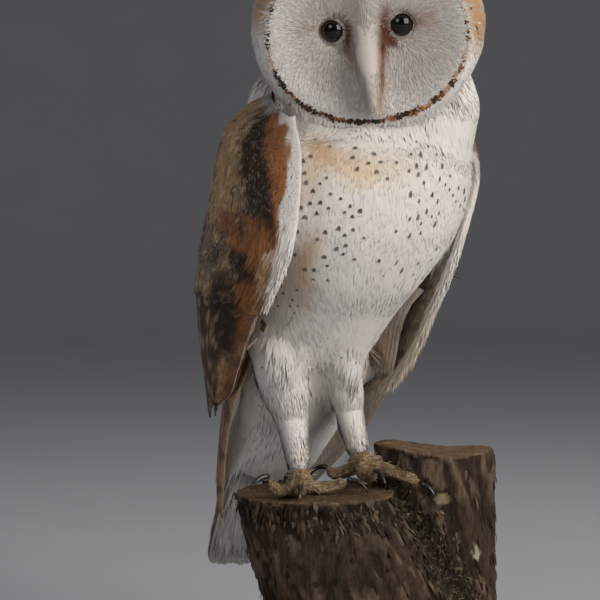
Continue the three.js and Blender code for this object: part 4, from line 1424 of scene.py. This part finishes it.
def vane_material():
    """Feathers with a shaft, barbs, bars and flecks, as strong as each feather's marks say."""
    vane = Nodes("wing_feather", roughness=0.72, specular=0.25, Sheen_Weight=0.12)
    strand = vane.uv("strand")
    u, v = vane.split(strand, 0), vane.split(strand, 1)
    side = vane.sum("ABSOLUTE", vane.sum("SUBTRACT", u, 0.5))
    marks = vane.attribute("marks")
    bars, fleck, shaft = (vane.split(marks, i) for i in range(3))
    tone = vane.attribute("tone")
    place = vane.place()
    wander = vane.noise(vane.stretched((160, 160, 60)), 1.0, 2.0)
    wave = vane.sum("SINE", vane.sum("MULTIPLY_ADD", v, 34.0, vane.sum("MULTIPLY", wander, 5.0)))
    barred = vane.sum("MULTIPLY", vane.step(wave, 0.15, 0.75), bars)
    colour = vane.mix(vane.sum("MULTIPLY", barred, 0.78), tone, tuple(UMBER * 0.7))
    grain = vane.noise(vane.stretched((900, 900, 420)), 1.0, 3.0, 0.7)
    dark = vane.sum("MULTIPLY", vane.step(grain, 0.52, 0.62), fleck)
    colour = vane.mix(vane.sum("MULTIPLY", dark, 0.75), colour, tuple(SOOT))
    pale = vane.sum("MULTIPLY", vane.step(grain, 0.44, 0.36), fleck)
    colour = vane.mix(vane.sum("MULTIPLY", pale, 0.5), colour, tuple(PALE_GREY))
    line = vane.sum("MULTIPLY", vane.step(side, 0.045, 0.02), shaft)
    colour = vane.mix(line, colour, tuple(UMBER))
    phase = vane.sum("MULTIPLY_ADD", v, 420.0, vane.sum("MULTIPLY", side, -160.0))
    barb = vane.sum("SINE", phase)
    streak = vane.noise(vane.stretched((1300, 1300, 130)), 1.0, 3.0, 0.65)
    shade = vane.step(streak, 0.3, 0.7, 0.62, 1.22)
    colour = vane.mix(1.0, colour, vane.add("CombineColor", {0: shade, 1: shade, 2: shade}), "MULTIPLY")
    rib = vane.sum("MULTIPLY_ADD", vane.step(side, 0.05, 0.0), 1.5, vane.sum("MULTIPLY", barb, 0.25))
    return vane.finish(colour, vane.bump(rib, 0.12 * MM, 0.6))


# ---------------------------------------------------------------- eyes and bill

LID_PROFILE = [  # mm from the eye's axis and forward of its middle, round the section of the lids
    (5.9, 4.4), (5.95, 4.7), (6.05, 4.76), (6.2, 4.55), (6.45, 3.9), (6.45, 2.0), (6.1, 3.0),
]
GAZE = {"right": (-0.2, -1, 0.02), "left": (0.2, -1, 0.02)}


def gaze_matrix(side):
    """Puts an eye, modelled looking along +Z, in its place in the head."""
    gaze = Vector(head.aim(GAZE[side])).normalized()
    sign = -1 if side == "right" else 1
    centre = Vector(head.world((sign * EYE_APART / 2, -EYE_FORWARD, EYE_RAISE)))
    return Matrix.Translation(centre) @ gaze.to_track_quat("Z", "Y").to_matrix().to_4x4()


def eye_material():
    glass = Nodes("dark_eye", roughness=0.05, specular=0.32, Coat_Weight=0.2, Coat_Roughness=0.02)
    ring = glass.attribute("tone")
    veins = glass.noise(glass.place(), 900.0, 3.0)
    return glass.finish(glass.mix(1.0, ring, glass.mix(veins, (0.75, 0.7, 0.7), (1, 1, 1)), "MULTIPLY"))


def build_eyes(white_down, random):
    glass = eye_material()
    lid_skin = Nodes("eyelid_skin", roughness=0.55, specular=0.35)
    crease = lid_skin.noise(lid_skin.place(), 1500.0, 2.0)
    lid = lid_skin.finish(lid_skin.mix(crease, srgb(112, 94, 84), srgb(166, 148, 136)),
                          lid_skin.bump(crease, 0.1 * MM))
    for side in SIDES:
        bm = bmesh.new()
        bmesh.ops.create_uvsphere(bm, u_segments=48, v_segments=32, radius=EYE_RADIUS * MM)
        eye = object_of(f"glass_eye_{side}", bm, glass)
        local = vertices_of(eye.data) / MM
        off_axis = np.degrees(np.arccos(np.clip(local[:, 2] / EYE_RADIUS, -1, 1)))
        iris = bell(off_axis - 40, 9)
        tone = blend(srgb(5, 4, 4), srgb(26, 16, 11), iris)
        layer = eye.data.attributes.new("tone", "FLOAT_COLOR", "POINT")
        layer.data.foreach_set("color", np.hstack([tone, np.ones((len(tone), 1))]).astype(np.float32).ravel())
        eye.data.transform(gaze_matrix(side))
        eye.data.shade_smooth()
        ride(eye, "eye", "eye_" + side)
        bm = bmesh.new()
        profile = [bm.verts.new((reach * MM, 0, depth * MM)) for reach, depth in LID_PROFILE]
        edges = [bm.edges.new((profile[k - 1], profile[k])) for k in range(len(profile))]
        bmesh.ops.spin(bm, geom=profile + edges, cent=(0, 0, 0), axis=(0, 0, 1), dvec=(0, 0, 0),
                       angle=2 * math.pi, steps=48, use_merge=True)
        bmesh.ops.scale(bm, verts=bm.verts, vec=(0.94, 1.04, 1))
        bmesh.ops.recalc_face_normals(bm, faces=bm.faces)
        lids = object_of(f"eyelid_{side}", bm, lid)
        lids.data.transform(gaze_matrix(side))
        lids.data.shade_smooth()
        ride(lids, "plumage_white")
        count = 420
        turn = random.uniform(-np.pi, np.pi, count)
        out = random.uniform(5.95, 6.9, count)
        spoke = np.stack([np.cos(turn), np.sin(turn), 0 * turn], -1)
        to_world = np.array(gaze_matrix(side))
        aim = to_world[:3, :3]
        local = spoke * out[:, None] + np.stack([0 * turn, 0 * turn, 4.75 - 1.1 * (out - 5.95)], -1)
        root = (local * MM) @ aim.T + to_world[:3, 3]
        facing = unit((spoke * 0.55 + (0, 0, 1)) @ aim.T)
        flow = turned(across(spoke @ aim.T, facing), facing, random.normal(0, 9, count))
        tone = plumage(root + flow * MM, np.full(count, "head"), np.full(count, 0.3))
        tone = blend(tone, SLATE, 0.3) * random.uniform(0.8, 1.0, count)[:, None]
        piece = lay_tufts(f"coat_lids_{side}", white_down, root, facing, flow, random.uniform(1.6, 3.4, count) * MM,
                          random.uniform(0.35, 0.6, count) * MM, random.uniform(-0.5, 0.0, count) * MM, tone,
                          skin_map(root), settle=False)
        ride(piece, "plumage_white")
        build_eye_corner(side, white_down, random)


RIDGE = [  # the feathered ridge in the head's frame, in mm: how high, how far forward, half its width and depth
    (26, 22.0, 5.5, 6),
    (17, 28.6, 7.0, 6),
    (9, 31.4, 7.6, 6),
    (2, 33.2, 7.7, 6),
    (-4, 35.2, 7.5, 6.5),
    (-10, 38.2, 7.6, 7),
    (-17, 41.4, 6.9, 8),
    (-25, 43.4, 5.7, 8.5),
    (-31, 44.6, 4.3, 8),
    (-36.5, 44.0, 2.8, 6),
]


def build_eye_corner(side, white_down, random):
    """Stiff red-brown feathers that fan from the inner corner of an eye, over the side of the ridge."""
    sign = -1 if side == "right" else 1
    count = 330 if side == "left" else 200
    turn = np.radians(random.normal(2, 34, count))
    out = 6.3 + np.abs(random.normal(0, 2.2, count))
    x = sign * (EYE_APART / 2 - out * np.cos(turn))
    z = EYE_RAISE + out * np.sin(turn) - 1.5 * (side == "left")
    start = head.world(np.stack([x, -60 + 0 * x, z], -1))
    found = [skin_tree.ray_cast(Vector(a), Vector(head.aim((0, 1, 0)))) for a in start]
    place = np.array([f[0] for f in found])
    facing = unit(np.array([f[1] for f in found]) + head.aim((0, -0.7, 0)))
    fan = head.aim(np.stack([-sign * np.cos(turn), 0 * turn, 1.2 * np.sin(turn) - 0.35], -1))
    flow = turned(across(fan, facing), facing, random.normal(0, 9, count))
    depth = 1 - smooth(out, 7, 11)
    tone = blend(plumage(place, np.full(count, "head"), np.full(count, 0.3)), RED_BROWN * 0.85, 0.35 + 0.65 * depth)
    tone = tone * random.uniform(0.75, 1.1, count)[:, None]
    piece = lay_tufts(f"coat_eye_corner_{side}", white_down, place + facing * 0.5 * MM, facing, flow,
                      random.uniform(2.4, 4.4, count) * MM, random.uniform(0.3, 0.5, count) * MM,
                      random.uniform(0.3, 1.0, count) * MM, tone, skin_map(place), settle=False)
    ride(piece, "plumage_white")


def build_bill(white_down, random):
    horn = Nodes("ivory_bill", roughness=0.35, specular=0.5)
    layers = horn.noise(horn.stretched((400, 400, 90)), 1.0, 3.0)
    bill = object_of("bill_horn", grown_copy(["bill"], 0), horn.finish(
        horn.mix(layers, srgb(190, 164, 140), srgb(222, 204, 184)), horn.bump(layers, 0.1 * MM)))
    bm = bmesh.new()
    bm.from_mesh(bill.data)
    bmesh.ops.join_triangles(bm, faces=bm.faces, angle_face_threshold=0.7, angle_shape_threshold=3.1)
    bm.to_mesh(bill.data)
    bm.free()
    rounding = bill.modifiers.new("rounding", "SUBSURF")
    rounding.levels = rounding.render_levels = 2
    bill.data.shade_smooth()
    ride(bill, "bill", "bill")
    # The white feathers of the ridge lie over the horn, down to its tip.
    rows = np.array(RIDGE, float)
    steps = np.linspace(0, 1, 25)
    turn = np.linspace(0, 2 * np.pi, 24, endpoint=False)
    up, front, half, deep = curve_through(rows, steps).T
    ring = np.stack([
        half[:, None] * np.sin(turn),
        -(front - deep)[:, None] - deep[:, None] * np.cos(turn),
        up[:, None] + 0 * turn,
    ], -1)
    bm = bmesh.new()
    loops = [[bm.verts.new(head.world(p)) for p in row] for row in ring]
    for above, below in zip(loops, loops[1:]):
        for i in range(len(turn)):
            k = (i + 1) % len(turn)
            bm.faces.new((above[i], above[k], below[k], below[i]))
    bm.faces.new(loops[0])
    bm.faces.new(loops[-1][::-1])
    bmesh.ops.recalc_face_normals(bm, faces=bm.faces)
    ridge = object_of("ridge_down", bm, white_down)
    points = vertices_of(ridge.data)
    layer = ridge.data.attributes.new("tone", "FLOAT_COLOR", "POINT")
    tone = plumage(points, np.full(len(points), "head"), np.full(len(points), 0.3))
    layer.data.foreach_set("color", np.hstack([tone, np.ones((len(tone), 1))]).astype(np.float32).ravel())
    for map_name in ("OFBake", "strand"):
        ridge.data.uv_layers.new(name=map_name)
    ridge.data.shade_smooth()
    count = 3600
    share = random.uniform(0, 0.95, count)
    angle = random.uniform(-1.75, 1.75, count)
    up, front, half, deep = curve_through(rows, share).T
    place = np.stack([half * np.sin(angle), -(front - deep) - deep * np.cos(angle), up], -1)
    facing = unit(np.stack([np.sin(angle) / half, -np.cos(angle) / deep, 0 * angle], -1))
    ahead_up, ahead_front, ahead_half, ahead_deep = curve_through(rows, share + 0.04).T
    ahead = np.stack([ahead_half * np.sin(angle), -(ahead_front - ahead_deep) - ahead_deep * np.cos(angle),
                      ahead_up], -1)
    flow = turned(across(ahead - place, facing), facing, random.normal(0, 8, count))
    size = random.uniform(0.7, 1.2, count)
    place, facing, flow = head.world(place), head.aim(facing), head.aim(flow)
    tone = plumage(place + flow * 3 * MM, np.full(count, "head"), np.full(count, 0.3))
    tone = tone * random.uniform(0.78, 1.04, count)[:, None]
    piece = lay_tufts("coat_bill_ridge", white_down, place, facing, flow, 4.6 * size * MM, 0.6 * size * MM,
                      random.uniform(0.2, 0.8, count) * MM, tone, skin_map(place), settle=False)
    ride(piece, "plumage_white")
    ride(ridge, "plumage_white")
    unwrap(ridge)


def build_rim(material, random):
    """The dark, beaded edge of the facial disc: short stiff feathers that stand in rows round it."""
    rows = []
    for row, (inside, density) in enumerate([(0.99, 300), (1.0, 300), (1.01, 300)]):
        angle = np.linspace(-np.pi, np.pi, density, endpoint=False) + row * 0.5 * np.pi / density
        angle = angle + random.normal(0, 0.01, density)
        rows.append(np.stack([angle, np.full(density, inside) + random.normal(0, 0.009, density)], -1))
    angle, share = np.concatenate(rows).T
    radius = rim_radius(angle) * share
    flat = np.stack([np.sin(angle), 0 * angle, -np.cos(angle)], -1)
    start = flat * radius[:, None] + (0, -RIM_FORWARD - 12, 0)
    places, facings = [], []
    for a in head.world(start):
        hit = skin_tree.ray_cast(Vector(a), Vector(head.aim((0, 1, 0))))
        places.append(hit[0] if hit[0] is not None else a)
        facings.append(hit[1] if hit[0] is not None else head.aim((0, -1, 0)))
    place, facing = np.array(places, float), np.array(facings, float)
    along = np.stack([np.cos(angle), 0 * angle, np.sin(angle)], -1)
    outward = head.aim(0.5 * flat + random.uniform(-1, 1, len(angle))[:, None] * along)
    facing = unit(facing * 0.5 + head.aim((0, -0.5, 0)))
    place = place + facing * 0.3 * MM
    flow = turned(across(outward, facing), facing, random.normal(0, 10, len(place)))
    low = 1 - smooth(np.degrees(np.abs(angle)), 50, 95)
    clump = patches(np.stack([radius * np.sin(angle), 0 * angle, radius * np.cos(angle)], -1), 3.2, 51)
    size = (0.5 + 0.6 * low) * random.uniform(0.6, 1.3, len(place)) * (0.6 + 0.8 * clump)
    side = 0.28 * smooth(np.sin(angle), -0.1, 0.5) + 0.2 * (1 - low)
    dark = clump + 0.3 - side + random.normal(0, 0.1, len(place))
    tone = blend(BUFF * 0.9, RUFOUS, smooth(dark, 0.3, 0.45))
    tone = blend(tone, UMBER * 1.2, smooth(dark, 0.5, 0.7))
    tone = blend(tone, SOOT * 1.2, smooth(dark, 0.88, 1.05))
    piece = lay_tufts("disc_rim", material, place, facing, flow, 2.1 * size * MM, 1.15 * size * MM,
                      (0.4 + 0.4 * low) * random.uniform(0.5, 1.2, len(place)) * MM, tone, skin_map(place),
                      settle=False)
    ride(piece, "plumage_buff")


# ---------------------------------------------------------------- feet and claws


def build_feet(random):
    scaly = Nodes("scaly_toe_skin", roughness=0.6, specular=0.35)
    plates = scaly.cells(scaly.place(), 620.0, feature="DISTANCE_TO_EDGE")
    seam = scaly.step(plates, 0.0, 0.12)
    tone = scaly.noise(scaly.place(), 160.0, 4.0)
    colour = scaly.mix(scaly.step(tone, 0.3, 0.7), srgb(112, 88, 62), srgb(172, 146, 108))
    colour = scaly.mix(seam, srgb(84, 60, 38), colour)
    skin_of_toes = scaly.finish(colour, scaly.bump(seam, 0.35 * MM))
    bristle = Nodes("pale_bristle", roughness=0.6)
    shade = bristle.noise(bristle.place(), 400.0)
    bristles = bristle.finish(bristle.mix(shade, srgb(176, 160, 132), srgb(214, 202, 180)))
    for side in SIDES:
        mesh = remeshed(f"toes_{side}", grown_copy(["foot_" + side], 0.15 * MM), 0.62 * MM, 3)
        points, normals = vertices_of(mesh), normals_of(mesh)
        ankle = bird.world(LEG_LINES[side][2])
        reach = np.linalg.norm(points - ankle, axis=1) / MM
        scutes = 0.16 * np.abs(np.sin(reach * np.pi / 2.1)) ** 0.6 * smooth(normals[:, 2], -0.2, 0.4)
        lumps = 0.25 * (patches(points / MM, 2.6, 31) - 0.5)
        points = points + normals * ((scutes + lumps) * MM)[:, None]
        mesh.vertices.foreach_set("co", points.astype(np.float32).ravel())
        mesh.shade_smooth()
        toes = object_of(f"toes_{side}", mesh, skin_of_toes)
        ride(toes, "toe_skin", "foot_" + side)
        count = 420
        chosen = random.choice(np.flatnonzero((normals[:, 2] > -0.1) & (reach < 24)), count)
        facing = normals[chosen]
        outward = unit(points[chosen] - ankle)
        flow = unit(outward + 0.45 * facing + random.normal(0, 0.25, (count, 3)))
        thin = random.uniform(0.22, 0.34, count) * MM
        piece = lay_tufts(f"bristles_{side}", bristles, points[chosen], facing, flow,
                          random.uniform(2.5, 5.0, count) * (1 - 0.4 * smooth(reach[chosen], 12, 24)) * MM,
                          thin, 0.2 * thin, np.ones((count, 3)), random.random((count, 2)), settle=False)
        ride(piece, "toe_skin")


def build_claws():
    horn = Nodes("claw_horn", roughness=0.22, specular=0.55, Coat_Weight=0.4, Coat_Roughness=0.1)
    streak = horn.noise(horn.stretched((700, 700, 300)), 1.0, 3.0)
    black = horn.finish(horn.mix(streak, srgb(20, 15, 13), srgb(52, 42, 36)), horn.bump(streak, 0.06 * MM))
    for name in sorted(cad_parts):
        if not name.startswith("claw_"):
            continue
        bm = grown_copy([name], 0)
        bmesh.ops.join_triangles(bm, faces=bm.faces, angle_face_threshold=0.8, angle_shape_threshold=3.1)
        claw = object_of("horn_" + name, bm, black)
        rounding = claw.modifiers.new("rounding", "SUBSURF")
        rounding.levels = rounding.render_levels = 2
        claw.data.shade_smooth()
        ride(claw, "claw", name)


# ---------------------------------------------------------------- log

LOG_VOXEL = 1.4 * MM
CREVICE = [(5, -6, 112), (16, -14, 96), (27, -17, 84), (40, -18, 64), (50, -17, 51), (58, -14, 20)]
LOG_PATCHES = [  # lichen, fresh wood and the like: place, reach in mm, colour and strength
    ((54, -10, 75), (3.4, 6, 4.6), srgb(176, 164, 140), 0.9),
    ((57, -9, 57), (3.0, 6, 4.0), srgb(160, 118, 104), 0.7),
    ((35, -13, 106), (6, 8, 4), srgb(150, 132, 104), 0.6),
    ((4, 20, 128), (8, 10, 9), srgb(164, 122, 84), 0.8),
    ((-48, -46, 98), (8, 8, 3.4), srgb(104, 70, 50), 0.5),
    ((-60, -36, 60), (10, 12, 14), srgb(104, 84, 66), 0.5),
    ((-20, -56, 40), (12, 12, 16), srgb(108, 88, 70), 0.5),
]


def distance_to(line, points):
    """How far points lie from a line through these corners, in mm."""
    nearest = np.full(len(points), np.inf)
    for a, b in zip(np.array(line, float), np.array(line[1:], float)):
        share = np.clip((points - a) @ (b - a) / ((b - a) @ (b - a)), 0, 1)
        nearest = np.minimum(nearest, np.linalg.norm(points - a - share[:, None] * (b - a), axis=1))
    return nearest


def build_flakes(log, random):
    """Crumbs and slivers of bark, thickest in the crevice and under the rim of the lower cut."""
    points, normals = vertices_of(log.data), normals_of(log.data)
    at = points / MM
    crevice = np.exp(-((distance_to(CREVICE, at) / 9) ** 2))
    rim = bell(at[:, 2] - 102, 5) * (at[:, 0] < 0)
    weight = (0.014 + crevice + 0.5 * rim) * (at[:, 2] > 13) * (normals[:, 2] < 0.75)
    count = 2400
    chosen = random.choice(len(points), count, p=weight / weight.sum())
    root, facing = points[chosen], normals[chosen]
    messy = crevice[chosen]
    flow = across(np.array([0.1, 0, -1.0]) + random.normal(0, 1, (count, 3)) * (0.12 + 0.9 * messy[:, None]), facing)
    small = 1 - 0.6 * messy
    tone = blend(srgb(44, 34, 27), srgb(116, 98, 80), random.random(count) ** 3)
    tone = blend(tone, srgb(72, 70, 40), 0.5 * messy * random.random(count))
    piece = lay_tufts("bark_flakes", bark_flake_material(), root, facing, flow,
                      random.uniform(3, 10, count) * small * MM, random.uniform(1.0, 3.0, count) * small * MM,
                      random.uniform(0.1, 1.6, count) * MM, tone, random.random((count, 2)), settle=False)
    ride(piece, "bark")


def bark_flake_material():
    flake = Nodes("bark_flakes", roughness=0.95, specular=0.1)
    grain = flake.noise(flake.stretched((900, 900, 300)), 1.0, 3.0)
    shade = flake.step(grain, 0.3, 0.7, 0.7, 1.2)
    return flake.finish(flake.mix(1.0, flake.attribute("tone"),
                                  flake.add("CombineColor", {0: shade, 1: shade, 2: shade}), "MULTIPLY"))


def build_log(random):
    mesh = remeshed("bark_log", grown_copy(["log"], 0), LOG_VOXEL, 2)
    points, normals = vertices_of(mesh), normals_of(mesh)
    at = points / MM
    top = smooth(normals[:, 2], 0.6, 0.85) * smooth(at[:, 2], 92, 100)
    base = 1 - smooth(at[:, 2], 0.5, 4)
    lean = at + np.stack([0.35 * at[:, 2], 0.05 * at[:, 2], 0 * at[:, 2]], -1)
    ribs = patches(lean * (1, 1, 0.16), 6.0, 41) - 0.5
    plates = smooth(patches(lean * (1, 1, 0.3), 9.0, 42), 0.42, 0.56)
    flakes = smooth(patches(lean * (1, 1, 0.42), 4.0, 43), 0.5, 0.6)
    grain = patches(lean * (1, 1, 0.25), 2.2, 44) - 0.5
    rough = 2.6 * ribs + 1.3 * plates + 0.9 * flakes + 0.8 * grain - 1.4
    rings = 0.25 * np.sin(np.hypot(at[:, 0] + 40, at[:, 1] + 7) * 2.4) + 0.5 * (patches(at, 5, 45) - 0.5)
    crevice = np.exp(-((distance_to(CREVICE, at) / 7.5) ** 2))
    crumbly = 3.2 * (patches(at, 3.0, 51) - 0.5) + 1.6 * (patches(at, 1.6, 52) - 0.5) - 1.2
    rough = rough * (1 - crevice) + crumbly * crevice
    torn = bell(at[:, 2] - 100, 5) * (at[:, 0] < 5) * smooth(patches(at * (1, 1, 0.5), 5, 48), 0.25, 0.45)
    rough = rough - 1.8 * torn
    height = (rough * (1 - top) + rings * top) * (1 - base)
    points = points + normals * (height * MM)[:, None]
    points[:, 2] = np.maximum(points[:, 2], 0)
    mesh.vertices.foreach_set("co", points.astype(np.float32).ravel())
    bark = blend(srgb(38, 28, 22), srgb(78, 61, 49), np.clip(0.5 + ribs + 0.3 * (plates - 0.5), 0, 1))
    bark = blend(bark, srgb(122, 102, 86), 0.6 * flakes * smooth(patches(lean, 24, 47), 0.35, 0.65))
    cut = blend(srgb(92, 70, 52), srgb(134, 108, 82), patches(at, 7, 46))
    cut = blend(cut, srgb(62, 46, 35), 0.6 * smooth(np.sin(np.hypot(at[:, 0] + 40, at[:, 1] + 7) * 2.4), 0.5, 1))
    tone = blend(bark, cut, top)
    tone = blend(tone, srgb(34, 25, 20), 0.75 * torn * (1 - top))
    # Painted shade: the crevice is coloured near-black along its line, for the shade inside the crack.
    tone = blend(tone, srgb(30, 25, 17), 0.85 * crevice * (1 - top))
    for place, reach, colour, strength in LOG_PATCHES:
        near = np.exp(-(((at - place) / reach) ** 2).sum(-1)) + 0.5 * (patches(at, 2.4, 49) - 0.5)
        tone = blend(tone, colour, strength * smooth(near, 0.35, 0.6))
    tone = blend(tone, srgb(168, 150, 122), 0.8 * smooth(patches(at, 1.6, 50), 0.74, 0.84) * smooth(crevice, 0.1, 0.5)
                 * smooth(at[:, 2], 84, 96))
    layer = mesh.attributes.new("tone", "FLOAT_COLOR", "POINT")
    layer.data.foreach_set("color", np.hstack([tone, np.ones((len(tone), 1))]).astype(np.float32).ravel())
    mesh.shade_smooth()
    wood = Nodes("rough_bark", roughness=0.9, specular=0.15)
    fine = wood.noise(wood.stretched((420, 420, 110)), 1.0, 5.0, 0.65)
    crumbs = wood.noise(wood.place(), 700.0, 3.0, 0.7)
    shade = wood.step(fine, 0.3, 0.7, 0.55, 1.3)
    colour = wood.mix(1.0, wood.attribute("tone"),
                      wood.add("CombineColor", {0: shade, 1: shade, 2: shade}), "MULTIPLY")
    relief = wood.sum("MULTIPLY_ADD", fine, 1.0, wood.sum("MULTIPLY", crumbs, 0.5))
    log = object_of("bark_log", mesh, wood.finish(colour, wood.bump(relief, 0.9 * MM)))
    ride(log, "bark", "log")
    build_flakes(log, random)


add_camera()
add_studio()
add_floor()
skin, skin_owner = build_skin()
unwrap(skin)
colour_skin(skin, skin_owner)
skin.data.materials.append(skin_material())
ride(skin, "plumage_white", *FLESH)
skin_tree = tree_of(skin.data)
white_down = down_material()
random = np.random.default_rng(7)
roots = Roots(skin, skin_owner, 5)
build_coat(roots, white_down)
build_spots(roots, white_down)
build_plumes(roots, white_down)
build_apron(white_down, random)
build_sleeves(white_down, random)
feathers = vane_material()
for side in SIDES:
    build_wing(side, feathers, random)
    build_leading_edge(side, white_down, random)
    build_primaries(side, feathers, random)
build_tail(feathers, random)
build_undertail(white_down, random)
build_drapes(feathers, white_down, random)
build_eyes(white_down, random)
build_bill(white_down, random)
build_rim(white_down, random)
build_feet(random)
build_claws()
build_log(random)
